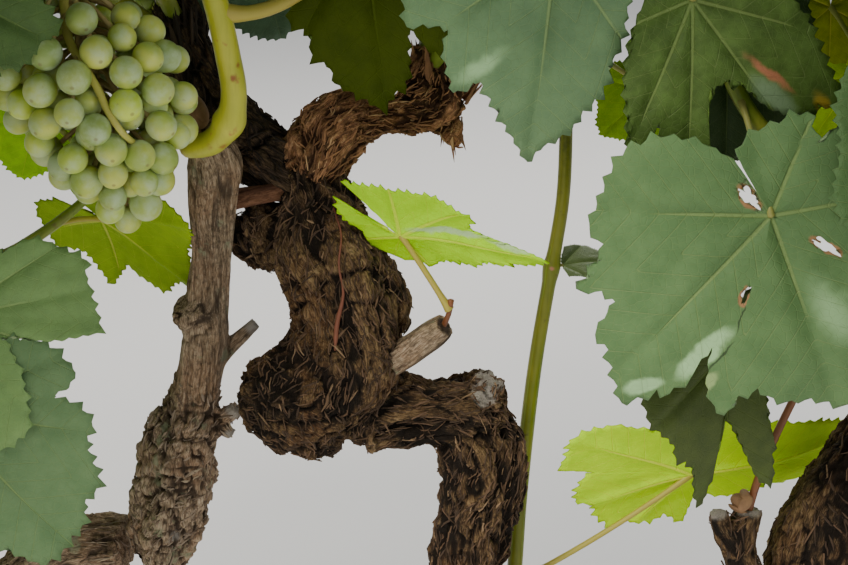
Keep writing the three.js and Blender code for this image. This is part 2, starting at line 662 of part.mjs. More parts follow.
// A side twig's line: from its node out to the side, in two lengths.
function sideTwig(node, heading, side, random) {
  const sideways = heading.clone().cross(UP);
  if (sideways.length() < 0.3) sideways.set(node.y, -node.x, 0);
  sideways.normalize().multiplyScalar(side);
  const way = sideways.addScaledVector(heading, 0.5 + 0.4 * random()).addScaledVector(UP, 0.2 + 0.3 * random());
  const first = node.clone().addScaledVector(way.normalize(), TWIG_LENGTH / 2);
  way.addScaledVector(heading, 0.3).addScaledVector(UP, -0.25).normalize();
  return [node, first, first.clone().addScaledVector(way, TWIG_LENGTH / 2)];
}

function twigFits(twig, owner) {
  const points = [twig[0].clone().lerp(twig[1], 0.5), twig[1], twig[1].clone().lerp(twig[2], 0.5), twig[2]];
  return points.every((p) => p.z > 160 && !inWindow(p)) && isFree(points, TWIG_RADIUS + 3, owner);
}

// A plain bunch hangs from a node on a short stem.
function plainBunch(shoot, points) {
  const node = points[shoot.guide.length - 1 + shoot.bunchAt];
  return { start: node.toArray(), neck: [node.x, node.y, node.z - 44], radius: 33, length: 108, fineness: 3,
    lean: [0, 0] };
}

// Half-width of a bunch at a share of its length from the neck.
function bunchWidth(share) {
  return 0.62 + 1.25 * share - 1.62 * share * share;
}

// A bunch is one closed mesh: every second point of a fine ball stands out as the top of a berry.
function bunchSolid(bunch) {
  const BETWEEN = 0.87;
  const neck = vector(bunch.neck);
  const tops = new THREE.IcosahedronGeometry(1, (bunch.fineness - 1) / 2).attributes.position;
  const isTop = (p) => Array.from({ length: tops.count }, (_, i) =>
    Math.hypot(tops.getX(i) - p.x, tops.getY(i) - p.y, tops.getZ(i) - p.z)).some((away) => away < 1e-3);
  const place = (share) => new THREE.Vector3(
    neck.x + bunch.lean[0] * share, neck.y + bunch.lean[1] * share, neck.z - bunch.length * share);
  const body = solidOf(shaped(new THREE.IcosahedronGeometry(1, bunch.fineness), (p) => {
    const out = isTop(p) ? 1 : BETWEEN;
    const share = (1 - p.z * out) / 2;
    const width = bunch.radius * bunchWidth(share) * out;
    return place(share).add(new THREE.Vector3(p.x * width, p.y * width, 0));
  }));
  return [body, rod(vector(bunch.start), place(0.25), 2.4, 2.4, 3)];
}

function takeBunch(bunch) {
  const ROOM = 8;
  const neck = vector(bunch.neck);
  for (let k = 0; k <= 6; k++) {
    const share = k / 6;
    const at = new THREE.Vector3(
      neck.x + bunch.lean[0] * share, neck.y + bunch.lean[1] * share, neck.z - bunch.length * share);
    taken.push({ at, radius: bunch.radius * bunchWidth(share) + ROOM, owner: "" });
  }
}

// Materials
const FINISHES = {
  bark: new THREE.MeshStandardMaterial({ color: 0x3d2c22, roughness: 0.95, metalness: 0 }),
  greyBark: new THREE.MeshStandardMaterial({ color: 0x6b5646, roughness: 0.9, metalness: 0 }),
  leaf: new THREE.MeshStandardMaterial({ color: 0x5c7f4a, roughness: 0.6, metalness: 0, flatShading: true }),
};
const BARK_OF = { left_stem: "greyBark", left_stem_foot: "greyBark", left_stem_elbow: "greyBark", centre_spur: "greyBark", cross_branch: "greyBark" };

function meshOf(name, solid, material) {
  const { numProp, vertProperties, triVerts, numVert } = solid.getMesh();
  const positions = new Float32Array(numVert * 3);
  for (let i = 0; i < numVert; i++) positions.set(vertProperties.subarray(i * numProp, i * numProp + 3), i * 3);
  const geometry = new THREE.BufferGeometry();
  geometry.setAttribute("position", new THREE.BufferAttribute(positions, 3));
  geometry.setIndex(new THREE.BufferAttribute(new Uint32Array(triVerts), 1));
  geometry.computeVertexNormals();
  const mesh = new THREE.Mesh(geometry, material);
  mesh.name = name;
  return mesh;
}

// Assembly
const vine = new THREE.Group();
const soil = belowGround();
let grownWood = null;
for (const [name, { limbs, burls, sides, step }] of Object.entries(WOOD)) {
  let solid = wood(limbs, burls, sides, step, 0).subtract(soil);
  if (grownWood) solid = solid.subtract(grownWood);
  const grown = wood(limbs, burls, sides, step, CLEARANCE);
  grownWood = grownWood ? grownWood.add(grown) : grown;
  vine.add(meshOf(name, largest(solid), FINISHES[BARK_OF[name] || "bark"]));
  const WOOD_ROOM = 6;
  for (const stations of limbs) {
    const line = new THREE.CatmullRomCurve3(stations.map(vector)).getPoints(stations.length * 3);
    line.forEach((at, k) => {
      const station = stations[Math.min(stations.length - 1, Math.round((k / line.length) * (stations.length - 1)))];
      taken.push({ at, radius: station[3] + WOOD_ROOM, owner: "" });
    });
  }
}

const shootPoints = SHOOTS.map(shootLine);
SHOOTS.forEach((shoot, i) => takeLine(shootPoints[i], shoot.radius + 3, 14, shoot.name));
const bunchesOf = SHOOTS.map((shoot, i) =>
  shoot.bunches || (shoot.bunchAt === undefined ? [] : [plainBunch(shoot, shootPoints[i])]));
bunchesOf.flat().forEach(takeBunch);
const placedOf = SHOOTS.map((shoot, i) => placedLeaves(shoot, shootPoints[i]));
placedOf.flat().forEach(takeLeaf);

const fixedPieces = SHOOTS.map((shoot, i) => {
  const tip = shoot.length ? SHOOT_TIP_RADIUS : shoot.radius * 0.7;
  return [
    stemSolid(shootPoints[i], shoot.radius, tip, SHOOT_SIDES),
    ...bunchesOf[i].flatMap(bunchSolid),
    ...placedOf[i].map((leaf) => leafSolid(leaf)),
  ];
});
stand(grownWood, "wood");
SHOOTS.forEach((shoot, i) => fixedPieces[i].forEach((piece) => stand(piece, shoot.name)));

SHOOTS.forEach((shoot, i) => {
  const grown = shoot.length ? grownLeaves(shoot, shootPoints[i]) : { leaves: [], twigs: [] };
  const pieces = [
    ...fixedPieces[i],
    ...grown.twigs.map((twig) => stemSolid(twig, TWIG_RADIUS, TWIG_RADIUS * 0.8, TWIG_SIDES)),
    ...grown.leaves.map((leaf) => leafSolid(leaf)),
  ];
  vine.add(meshOf(shoot.name, largest(joined(pieces).subtract(grownWood)), FINISHES.leaf));
});

export default vine;
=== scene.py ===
import itertools
import math

import bmesh
import bpy
import numpy as np
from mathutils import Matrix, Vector
from mathutils.bvhtree import BVHTree


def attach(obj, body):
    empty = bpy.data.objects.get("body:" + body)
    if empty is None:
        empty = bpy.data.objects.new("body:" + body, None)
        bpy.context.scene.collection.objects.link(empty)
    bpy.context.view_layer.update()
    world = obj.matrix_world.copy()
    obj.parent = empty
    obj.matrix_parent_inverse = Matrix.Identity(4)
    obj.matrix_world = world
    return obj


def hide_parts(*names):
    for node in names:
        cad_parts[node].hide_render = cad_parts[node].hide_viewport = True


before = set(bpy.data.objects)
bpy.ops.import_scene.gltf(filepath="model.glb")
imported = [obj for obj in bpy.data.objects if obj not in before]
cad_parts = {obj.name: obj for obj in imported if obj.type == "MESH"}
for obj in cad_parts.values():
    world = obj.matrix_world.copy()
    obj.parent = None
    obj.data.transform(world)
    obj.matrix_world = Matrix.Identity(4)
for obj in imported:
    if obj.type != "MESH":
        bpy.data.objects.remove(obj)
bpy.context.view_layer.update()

bpy.ops.object.select_all(action="DESELECT")

# An old grapevine: bark, leaves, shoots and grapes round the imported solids. All numbers are in
# millimetres, and a mesh is turned to metres when it is made.
MM = 0.001
UP = np.array([0.0, 0.0, 1.0])

# The vine's own sizes
INTERNODE = 68.0
ZIGZAG, SWAY = 7, 16
LEAF_REACH = 90.0
TWIG_EVERY = 4
TWIG_LENGTH = 120.0
BUD_OFFSET = 10.0
PETIOLE_SHARE = 0.86
ATTEMPTS = 5
# Where the vine is looked at from, how far down in degrees, and the half-sizes of the open window there
EYE = np.array([0.0, -856.0, 778.0])
PITCH = 18.0
HALF_WINDOW = (0.242, 0.163)

# Stations along the middle of each limb: x, y, z and the radius there
WOOD = {
    "trunk": [
        [(0, 0, -40, 74), (0, 0, 0, 64), (4, 2, 36, 46), (11, 6, 80, 36), (2, 10, 138, 32), (-9, 6, 196, 33),
         (-2, 0, 250, 27), (16, 0, 300, 24), (21, 0, 344, 21), (25, -4, 368, 20), (29, -6, 390, 22),
         (27, -5, 416, 22), (20, -5, 434, 15)],
        [(38, -6, 428, 14), (24, -5, 431, 20), (1, -8, 434, 18), (-20, -10, 438, 20), (-42, -15, 448, 24)],
        [(-42, -17, 430, 20), (-37, -14, 456, 26), (-37, -12, 480, 27), (-41, -8, 502, 26),
         (-50, -2, 522, 24),
         (-55, 2, 542, 20), (-58, 4, 560, 15)],
        [(26, -6, 434, 11), (34, -8, 452, 8)],
        [(4, -4, 66, 26), (26, -40, 14, 24), (40, -66, -40, 20)],
        [(-2, 6, 60, 24), (-14, 44, 12, 23), (-22, 70, -40, 20)],
    ],
    "left_stem_foot": [
        [(-44, 12, -40, 40), (-50, 14, 0, 36), (-78, 18, 34, 28), (-122, 18, 72, 25), (-152, 24, 128, 25),
         (-196, 34, 176, 24), (-214, 34, 236, 20), (-220, 30, 286, 18)],
    ],
    "left_stem_elbow": [
        [(-221, 30, 276, 18), (-222, 29, 302, 17), (-212, 24, 330, 16), (-186, 16, 348, 14),
         (-158, 9, 352, 14)],
    ],
    "left_stem": [
        [(-140, 7, 344, 15), (-135, 5, 366, 20), (-128, 2, 391, 20), (-124, 0, 415, 19), (-117, 0, 436, 13),
         (-113, -2, 452, 11.5), (-109, -4, 476, 11.5), (-108, -6, 493, 10.5), (-105, -8, 517, 9),
         (-103, -12, 546, 11.5), (-101, -15, 566, 13), (-105, -20, 584, 9)],
        [(-116, -1, 440, 6), (-101, 0, 463, 4.4), (-85, 2, 478, 3)],
        [(-112, -2, 420, 7), (-103, -2, 428, 5), (-95, -4, 434, 3.4)],
        [(-104, -3, 424, 5), (-98, -6, 420, 2.4)],
    ],
    "right_stem": [
        [(40, 10, -40, 46), (48, 12, 0, 42), (76, 18, 44, 32), (112, 24, 104, 31), (170, 18, 162, 30),
         (186, 10, 236, 28), (207, 8, 306, 31), (217, 3, 360, 33), (231, 0, 392, 31), (246, 2, 424, 25),
         (254, 4, 450, 18), (258, 4, 466, 11)],
        [(192, -8, 322, 12), (170, -20, 342, 9.5), (160, -25, 366, 8.5), (164, -26, 388, 7)],
        [(161, -26, 362, 7), (151, -30, 378, 5.5), (147, -32, 389, 4.2)],
    ],
    "left_arm": [
        [(-56, 5, 548, 15), (-68, 9, 556, 16), (-82, 15, 565, 16.5), (-99, 21, 577, 16.5),
         (-112, 24, 592, 15.5),
         (-118, 26, 612, 14), (-122, 29, 632, 10.5), (-123, 30, 645, 5)],
    ],
    "right_arm": [
        [(-56, 4, 553, 18), (-49, 6, 566, 18.5), (-38, 9, 577, 16.5), (-26, 12, 580, 12), (-16, 14, 580, 8.5),
         (-7, 14, 584, 13), (3, 14, 591, 17.5), (3, 15, 604, 13), (0, 16, 617, 6)],
        [(6, 14, 592, 12), (16, 14, 596, 6), (24, 13, 600, 2)],
        [(6, 14, 586, 12), (12, 14, 576, 7), (17, 14, 567, 2.4)],
    ],
    "cross_branch": [[(-106, -6, 541, 6), (-92, -4, 544, 5), (-76, -2, 547, 4.6), (-58, 1, 551, 6)]],
    "centre_spur": [[(-34, -12, 452, 9), (-22, -20, 463, 9), (-9, -26, 472, 8), (3, -31, 483, 7.4),
                     (10, -34, 489, 6)]],
}
# Swellings: middle and three half-widths
BURLS = {
    "trunk": [(-61, -24, 447, 30, 27, 31), (-48, -22, 466, 24, 22, 22), (-22, -10, 494, 15, 18, 22),
              (-80, 6, 523, 17, 15, 19), (-26, -6, 190, 24, 24, 30)],
    "left_stem_foot": [(-150, 16, 116, 27, 26, 22)],
    "left_stem": [(-112, -8, 488, 14, 10, 8), (-119, -14, 486, 6, 6, 6), (-131, 3, 372, 20, 19, 16)],
    "right_stem": [(224, -8, 384, 27, 24, 20), (168, 10, 196, 32, 26, 28)],
}
# Ends that were sawn or broken long ago: where they are, and how far they show worn grey wood, or dark below 0
CUTS = {
    "trunk": [(35, -9, 456, 10), (30, -16, 446, 7)],
    "left_stem": [(-84, 2, 479, 8), (-95, -4, 435, 7), (-98, -6, 419, 5), (-126, -19, 364, 6)],
    "right_stem": [(164, -26, 391, 8), (147, -32, 391, 6)],
    "right_arm": [(24, 13, 600, 6)],
    "centre_spur": [(11, -35, 490, -5)],
}


def shoot(name, seed, radius, guide, heading=0, rise=0, droop=0, length=0, first=0, bunch_at=None, bunches=(),
          leaves=()):
    """A shoot: the points that guide it out of its spur, the way it goes on, and leaves in their places."""
    return {"name": "foliage_" + name, "seed": seed, "radius": radius, "guide": np.array(guide, float),
            "heading": heading, "rise": rise, "droop": droop, "length": length, "first": first,
            "bunch_at": bunch_at, "bunches": list(bunches), "leaves": list(leaves)}


# A leaf with its own place: its stalk's start and end, the ways of its tip and face, its reach and its look
SHOOTS = [
    shoot("left_stem", 11, 6.4,
          [(-103, -22, 576), (-110, -31, 577), (-99, -38, 581), (-90, -43, 592), (-87, -46, 606),
           (-89, -48, 624),
           (-92, -50, 642), (-98, -54, 668)], 214, 78, 62, 500,
          leaves=[((-92, -50, 644), (-27, -30, 680), (0.16, -0.08, -1), (-0.2, -1, 0.1), 88, "shade_leaf"),
                  ((-96, -53, 658), (-88, 50, 667), (0.3, 0.2, -1), (0.3, -1, 0.25), 61,
                   "shade_leaf_behind")]),
    shoot("grapes_left", 12, 4.4,
          [(-121, 26, 626), (-134, -8, 668), (-150, -46, 700), (-178, -86, 712)], 218, 8, 92, 340,
          leaves=[((-176, -84, 711), (-206, -96, 664), (0.9, -0.1, -0.45), (0.1, -1, 0.3), 74,
                   "leaf_over_grapes")],
          bunches=[{"start": (-154, -51, 701), "neck": (-160, -58, 668), "radius": 54, "length": 130,
                    "lean": (26, 0), "open": 0.34,
                    "furrow": [(-160, -58, 668), (-159, -62, 652), (-155, -76, 636), (-147, -86, 626),
                               (-141, -90, 617), (-136, -94, 607), (-131, -94, 599), (-128, -84, 592)]}]),
    shoot("left_low", 13, 3.6,
          [(-112, 20, 590), (-132, -2, 574), (-152, -18, 558), (-173, -28, 541), (-200, -36, 524)],
          200, -20, 50, 272, 1,
          leaves=[((-200, -36, 524), (-216, -84, 510), (1, -0.1, 0.05), (0.1, -1, 0.35), 74,
                   "left_upper_leaf"),
                  ((-214, -40, 519), (-220, -98, 470), (0.75, -0.1, -0.8), (0.05, -1, 0.25), 88,
                   "left_lower_leaf"),
                  ((-178, -30, 538), (-160, 6, 531), (0.75, 0.1, -0.5), (0.15, 0.75, 0.7), 60,
                   "leaf_behind_grapes"),
                  ((-152, -18, 558), (-186, -8, 590), (-0.3, 0.1, -1), (0.2, -1, 0.2), 40,
                   "lime_leaf_behind_grapes")]),
    shoot("centre_spur", 14, 2.6, [(8, -32, 485), (12, -36, 496), (13, -37, 503)],
          leaves=[((12, -36, 498), (-11, -30, 533.5), (1, -0.2, -0.2), (0.05, 0.9, 0.62), 76,
                   "centre_leaf")]),
    shoot("upright", 15, 4.6,
          [(10, 22, 196), (32, 34, 222), (43, 32, 264), (48, 30, 307), (50, 34, 330), (52, 38, 363),
           (59, 44, 437), (67, 46, 493), (72, 46, 530), (73, 48, 564), (72, 50, 603), (69, 54, 664)], 70, 84, 40, 476, 1,
          leaves=[((49, 32, 316), (144.6, 34, 380.6), (-1, -0.1, 0.06), (0.1, 0.9, 0.5), 88, "low_lime_leaf"),
                  ((67, 46, 492), (73, 48, 494), (1, 0.15, 0.16), (-0.1, -0.45, 0.85), 28, "small_grey_leaf"),
                  ((71, 51, 612), (117, 74, 582), (0.2, 0.1, -1), (0.1, -1, 0.2), 36, "lime_strip_leaf")]),
    shoot("right_head_front", 16, 4.4,
          [(4, 14, 606), (18, -8, 640), (30, -28, 690), (40, -48, 742)], 262, 70, 112, 408,
          leaves=[((30, -28, 690), (56, -86, 678), (-0.1, -0.05, -1), (0.05, -1, 0.1), 90, "head_leaf")]),
    shoot("right_front", 17, 4.6,
          [(252, 0, 448), (238, -30, 488), (206, -56, 534), (170, -68, 574), (140, -70, 610), (124, -64, 656),
           (118, -60, 712)], 286, 74, 104, 408,
          leaves=[((140, -70, 610), (150, -108, 565), (0.3, -0.1, -1), (-0.05, -1, 0.1), 96,
                   "large_right_leaf"),
                  ((121, -62, 684), (115, -86, 655), (0.8, -0.05, -0.62), (0.1, -1, 0.15), 84,
                   "blushed_leaf"),
                  ((124, -64, 656), (136, -54, 626), (0.06, -0.1, -1), (0, -1, 0.15), 52, "dark_leaf_behind"),
                  ((206, -56, 534), (226, -104, 606), (0.1, -0.1, -1), (0.25, -1, 0.2), 70,
                   "far_right_leaf")]),
    shoot("right_spur", 18, 3.8,
          [(163, -26, 382), (167, -27, 402), (174, -28, 426), (184, -30, 454), (197, -34, 492),
           (222, -44, 536)],
          -40, 34, 110, 340,
          leaves=[((184, -30, 454), (142, -62, 486), (0.1, -0.06, -1), (0.35, -1, 0.1), 70, "hanging_leaf")]),
    shoot("right_out", 19, 4.4, [(260, 6, 456), (286, 10, 486)], 6, 62, 120, 408, bunch_at=1),
    shoot("right_back", 20, 4.4, [(256, 10, 458), (264, 34, 500)], 62, 66, 100, 544),
    shoot("right_up", 21, 4.4, [(255, 2, 462), (258, -6, 520)], 330, 82, 44, 612),
    shoot("right_front_low", 22, 4.2, [(258, -6, 454), (280, -34, 484)], 304, 46, 104, 408),
    shoot("right_top", 29, 4.2, [(252, 6, 462), (236, 22, 520)], 150, 84, 36, 612,
          leaves=[((228, 30, 590), (206, 54, 629), (0.1, 0.1, -1), (0, -1, 0.3), 38, "golden_leaf"),
                  ((244, 14, 548), (222, 60, 592), (-0.5, 0.1, -1), (0, -1, 0.3), 44, "right_lime_leaf")]),
    shoot("left_arm_up", 23, 4.6, [(-119, 33, 638), (-110, 42, 694)], 150, 84, 40, 544),
    shoot("left_arm_back", 24, 4.4, [(-118, 34, 622), (-128, 66, 656)], 112, 60, 104, 476, bunch_at=1),
    shoot("left_arm_out", 25, 4.4, [(-126, 28, 618), (-164, 34, 648)], 172, 60, 116, 476, bunch_at=2),
    shoot("left_front", 30, 4.2, [(-127, 25, 636), (-146, 14, 694)], 248, 74, 96, 476),
    shoot("right_head_up", 26, 4.4, [(2, 18, 610), (4, 26, 668)], 20, 84, 34, 544),
    shoot("right_head_back", 27, 4.4, [(6, 24, 598), (14, 62, 632)], 86, 60, 92, 476),
    shoot("left_foot", 28, 4.0, [(-218, 28, 300), (-246, 22, 330)], 188, 66, 90, 408),
]


# Small helpers
def unit(v):
    return v / np.linalg.norm(v)


def seeded(seed):
    """Even random numbers from 0 to 1 that are the same on every run."""
    largest = 2147483647
    state = (seed * 7919 + 1) % largest

    def draw():
        nonlocal state
        state = state * 16807 % largest
        return state / largest
    return draw


def smoothstep(low, high, x):
    t = np.clip((x - low) / (high - low), 0, 1)
    return t * t * (3 - 2 * t)


def lattice(ix, iy, iz, seed):
    n = (ix * 73856093) ^ (iy * 19349663) ^ (iz * 83492791) ^ (seed * 2654435761)
    n = n & 0xFFFFFFFF
    n = ((n ^ (n >> 15)) * 2246822519) & 0xFFFFFFFF
    n = ((n ^ (n >> 13)) * 3266489917) & 0xFFFFFFFF
    return (n ^ (n >> 16)) / 4294967296.0


def noise(p, seed):
    """Smooth noise from 0 to 1 at each point, with lumps about one unit wide."""
    whole = np.floor(p).astype(np.int64)
    f = p - whole
    u = f * f * (3 - 2 * f)
    x, y, z = whole[:, 0], whole[:, 1], whole[:, 2]
    total = 0
    for dx, dy, dz in itertools.product((0, 1), repeat=3):
        share_x, share_y, share_z = (u[:, i] if d else 1 - u[:, i] for i, d in enumerate((dx, dy, dz)))
        share = share_x * share_y * share_z
        total = total + share * lattice(x + dx, y + dy, z + dz, seed)
    return total


def layered(p, seed, layers=3):
    total, weight = 0, 0
    for k in range(layers):
        total = total + noise(p * 2 ** k, seed + k) / 2 ** k
        weight += 1 / 2 ** k
    return total / weight


def curve_at(points, share):
    """The place at a share of the smooth curve through the points, the curve that the plain solids follow."""
    n = len(points)
    place = (n - 1) * min(max(share, 0.0), 1.0)
    k = min(int(place), n - 2)
    w = place - k
    b, c = points[k], points[k + 1]
    a = points[k - 1] if k else 2 * points[0] - points[1]
    d = points[k + 2] if k + 2 < n else 2 * points[-1] - points[-2]
    gaps = [np.sum((q - p) ** 2) ** 0.25 for p, q in ((a, b), (b, c), (c, d))]
    middle = gaps[1] if gaps[1] > 1e-4 else 1.0
    before = gaps[0] if gaps[0] > 1e-4 else middle
    after = gaps[2] if gaps[2] > 1e-4 else middle
    leave = ((b - a) / before - (c - a) / (before + middle) + (c - b) / middle) * middle
    arrive = ((c - b) / middle - (d - b) / (middle + after) + (d - c) / after) * middle
    return (b + leave * w + (-3 * b + 3 * c - 2 * leave - arrive) * w ** 2
            + (2 * b - 2 * c + leave + arrive) * w ** 3)


def frames_along(places):
    """A direction, a side and the other side at each place of a line, with no sudden turn."""
    ways = np.gradient(places, axis=0)
    side = np.array([0.0, 1.0, 0.0])
    out = []
    for way in ways:
        way = unit(way)
        flat = side - way * side.dot(way)
        side = unit(flat) if np.linalg.norm(flat) > 1e-6 else unit(np.cross(way, [1.0, 0.0, 0.0]))
        out.append((way, side, np.cross(way, side)))
    return np.array(out)


class Shape:
    """Points and faces of many small forms, each face with its finish and each point with extra numbers."""

    def __init__(self):
        self.points, self.faces, self.kinds, self.extra = [], [], [], []
        self.count = 0

    def add(self, points, faces, kind=0, extra=None):
        base = self.count
        self.points.append(np.asarray(points, float))
        self.faces.extend([tuple(i + base for i in face) for face in faces])
        self.kinds.extend([kind] * len(faces))
        self.extra.append(np.zeros((len(points), 4)) if extra is None else np.asarray(extra, float))
        self.count += len(points)

    def piece(self, name, materials, smooth=True):
        mesh = bpy.data.meshes.new(name)
        points = np.vstack(self.points) * MM
        mesh.from_pydata(points.tolist(), [], self.faces)
        for material in materials:
            mesh.materials.append(material)
        mesh.polygons.foreach_set("material_index", np.array(self.kinds, np.int32))
        mesh.polygons.foreach_set("use_smooth", np.full(len(self.faces), smooth))
        extra = np.vstack(self.extra)
        corner = np.zeros(len(mesh.loops), np.int32)
        mesh.loops.foreach_get("vertex_index", corner)
        for layer, columns in (("veins", (0, 1)), ("blade", (2, 3))):
            uv = mesh.uv_layers.new(name=layer)
            uv.data.foreach_set("uv", extra[corner][:, columns].astype(np.float32).ravel())
        mesh.validate()
        piece = bpy.data.objects.new(name, mesh)
        bpy.context.scene.collection.objects.link(piece)
        return piece


def use(piece):
    bpy.ops.object.select_all(action="DESELECT")
    piece.select_set(True)
    bpy.context.view_layer.objects.active = piece


def apply_modifier(piece, kind, **settings):
    use(piece)
    modifier = piece.modifiers.new(kind.lower(), kind)
    for key, value in settings.items():
        setattr(modifier, key, value)
    bpy.ops.object.modifier_apply(modifier=modifier.name)


def finish_piece(piece, nodes=()):
    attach(piece, "root")
    if nodes:
        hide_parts(*nodes)
    return piece


def tube_faces(rings, sides):
    """Faces of a closed tube of rings, with a point at each end."""
    last = 1 + (rings - 1) * sides
    faces = [(0, 1 + (j + 1) % sides, 1 + j) for j in range(sides)]
    for low in range(1, last, sides):
        high = low + sides
        faces.extend((low + j, low + (j + 1) % sides, high + (j + 1) % sides, high + j) for j in range(sides))
    faces.extend((last + j, last + (j + 1) % sides, last + sides) for j in range(sides))
    return faces


def tube(places, radii, sides):
    """Points and faces of a closed tube along a line, with a point at each end."""
    places = np.asarray(places, float)
    frames = frames_along(places)
    angles = np.arange(sides) * 2 * math.pi / sides
    points = [places[0] - frames[0, 0] * radii[0] * 0.5]
    for place, (_, side, other), radius in zip(places, frames, radii):
        points.extend(place + radius * (math.cos(a) * side + math.sin(a) * other) for a in angles)
    points.append(places[-1] + frames[-1, 0] * radii[-1] * 0.5)
    return np.array(points), tube_faces(len(places), sides)


def ball(subdivisions):
    """The points and faces of a round ball of radius 1."""
    form = bmesh.new()
    bmesh.ops.create_icosphere(form, subdivisions=subdivisions, radius=1)
    points = np.array([v.co[:] for v in form.verts])
    faces = [tuple(v.index for v in f.verts) for f in form.faces]
    form.free()
    return points, faces


# Bark. Its relief is full on limbs of one radius and more, and keeps a least share on thin ones.
SAMPLE = 4.0
LIMB_SIDES = 28
FULL_RELIEF, LEAST_RELIEF = 17, 0.22
RELIEF_RANGE = 9
BASE_CUT = 0.2
LOWEST_FIBRE = 16


def limb_line(stations):
    """A limb's middle, close set, with its frames and radii, the length so far and its share of the whole."""
    stations = np.array(stations, float)
    rough = np.linalg.norm(np.diff(stations[:, :3], axis=0), axis=1).sum()
    count = max(8, int(rough / SAMPLE))
    shares = np.linspace(0, 1, count + 1)
    places = np.array([curve_at(stations[:, :3], s) for s in shares])
    radii = np.interp(shares * (len(stations) - 1), np.arange(len(stations)), stations[:, 3])
    run = np.concatenate([[0], np.cumsum(np.linalg.norm(np.diff(places, axis=0), axis=1))])
    return {"places": places, "frames": frames_along(places), "radii": radii, "run": run, "shares": shares}


def limb_form(line, sides=LIMB_SIDES):
    """A limb as a tube whose section is ridged by a few twisting lobes, as on the plain solids."""
    points = [line["places"][0]]
    angles = np.arange(sides) * 2 * math.pi / sides
    rows = zip(line["places"], line["frames"], line["radii"], line["shares"])
    for place, (_, side, other), radius, share in rows:
        lobes = 1 + 0.1 * np.cos(3 * angles + 5 * share) + 0.05 * np.cos(5 * angles - 7 * share)
        reach = (radius * lobes)[:, None]
        points.extend(place + reach * (-np.cos(angles)[:, None] * side + np.sin(angles)[:, None] * other))
    points.append(line["places"][-1])
    return np.array(points), [face[:1] + face[:0:-1] for face in tube_faces(len(line["places"]), sides)]


LINES = {name: [limb_line(stations) for stations in limbs] for name, limbs in WOOD.items()}


def grain_at(points, lines):
    """Where each point lies on the nearest limb: across and along the grain, and the limb's radius."""
    best = np.full(len(points), 1e9)
    across = np.zeros((len(points), 2))
    along = np.zeros(len(points))
    radius = np.zeros(len(points))
    offset = 0.0
    for line in lines:
        places, frames = line["places"], line["frames"]
        gaps = (points ** 2).sum(1)[:, None] + (places ** 2).sum(1)[None, :] - 2 * points @ places.T
        share = gaps / (line["radii"] ** 2)[None, :]
        nearest = share.argmin(1)
        value = share[np.arange(len(points)), nearest]
        away = points - places[nearest]
        way, side, other = frames[nearest, 0], frames[nearest, 1], frames[nearest, 2]
        run = line["run"][nearest] + np.clip((away * way).sum(1), -6, 6)
        turn = run * 0.006
        x, y = (away * side).sum(1), (away * other).sum(1)
        mine = value < best
        turned = np.stack([x * np.cos(turn) - y * np.sin(turn), x * np.sin(turn) + y * np.cos(turn)], 1)
        across[mine] = turned[mine]
        along[mine] = (run + offset)[mine]
        radius[mine] = line["radii"][nearest][mine]
        best[mine] = value[mine]
        offset += line["run"][-1] + 37
    return across, along, radius


def grain_noise(across, along, width, long, seed):
    return noise(np.column_stack([across / width, along / (width * long)]), seed)


def furrow(n, width):
    """Deep lines where the noise crosses its middle."""
    return np.exp(-((n - 0.5) / width) ** 2)


def relief_share(radius):
    return np.clip(radius / FULL_RELIEF, LEAST_RELIEF, 1)


def bark_relief(points, across, along, radius, style, seed):
    """How far the bark stands out: shaggy, stringy, flaky and knobbly bark, mixed by their shares."""
    bend = 13 * np.column_stack([noise(points / 24, seed + 40), noise(points / 24, seed + 41)]) - 6.5
    bend += 3.0 * np.column_stack([noise(points / 7, seed + 43), noise(points / 7, seed + 44)]) - 1.5
    q = across + bend * (1 - 0.85 * style[:, 1:2])
    s = along + 30 * noise(points / 26, seed + 42)
    crumbs = layered(points / 4.2, seed + 45, 2) - 0.5
    shaggy = (3.6 * (noise(points / 30, seed) - 0.5)
              + 3.4 * (grain_noise(q, s, 8, 2.6, seed + 1) - 0.5)
              - 3.2 * furrow(grain_noise(q, s, 9, 2.4, seed + 2), 0.06)
              - 1.9 * furrow(grain_noise(q, s, 4.2, 4, seed + 3), 0.08)
              + 2.6 * (grain_noise(q, s, 2.4, 5, seed + 4) - 0.5)
              + 1.6 * crumbs)
    stringy = (1.4 * (grain_noise(q, s, 9, 9, seed + 5) - 0.5)
               - 1.3 * furrow(grain_noise(q, s, 4, 16, seed + 6), 0.09)
               + 1.5 * (grain_noise(q, s, 1.9, 20, seed + 7) - 0.5))
    flaky = (3.2 * (noise(points / 12, seed + 8) - 0.5)
             - 2.2 * furrow(grain_noise(q, s, 7, 1.6, seed + 9), 0.08)
             - 1.7 * furrow(noise(points / 4.6, seed + 10), 0.1)
             + 3.0 * crumbs)
    knobbly = (5.0 * (layered(points / 14, seed + 12, 2) - 0.5)
               - 2.6 * furrow(noise(points / 7, seed + 13), 0.1)
               - 1.8 * furrow(noise(points / 3.6, seed + 14), 0.12)
               + 3.6 * crumbs)
    height = (style[:, 0] * shaggy + style[:, 1] * stringy + style[:, 2] * flaky + style[:, 3] * knobbly)
    return height * relief_share(radius)


def field_of(mesh, name):
    """A mesh's places or normals, a row for each point."""
    values = np.zeros(len(mesh.vertices) * 3, np.float32)
    mesh.vertices.foreach_get(name, values)
    return values.reshape(-1, 3).astype(float)


def add_field(mesh, name, kind, values):
    field = mesh.attributes.new(name, kind, "POINT")
    values = np.asarray(values).astype(np.float32).ravel()
    field.data.foreach_set("vector" if kind == "FLOAT_VECTOR" else "value", values)


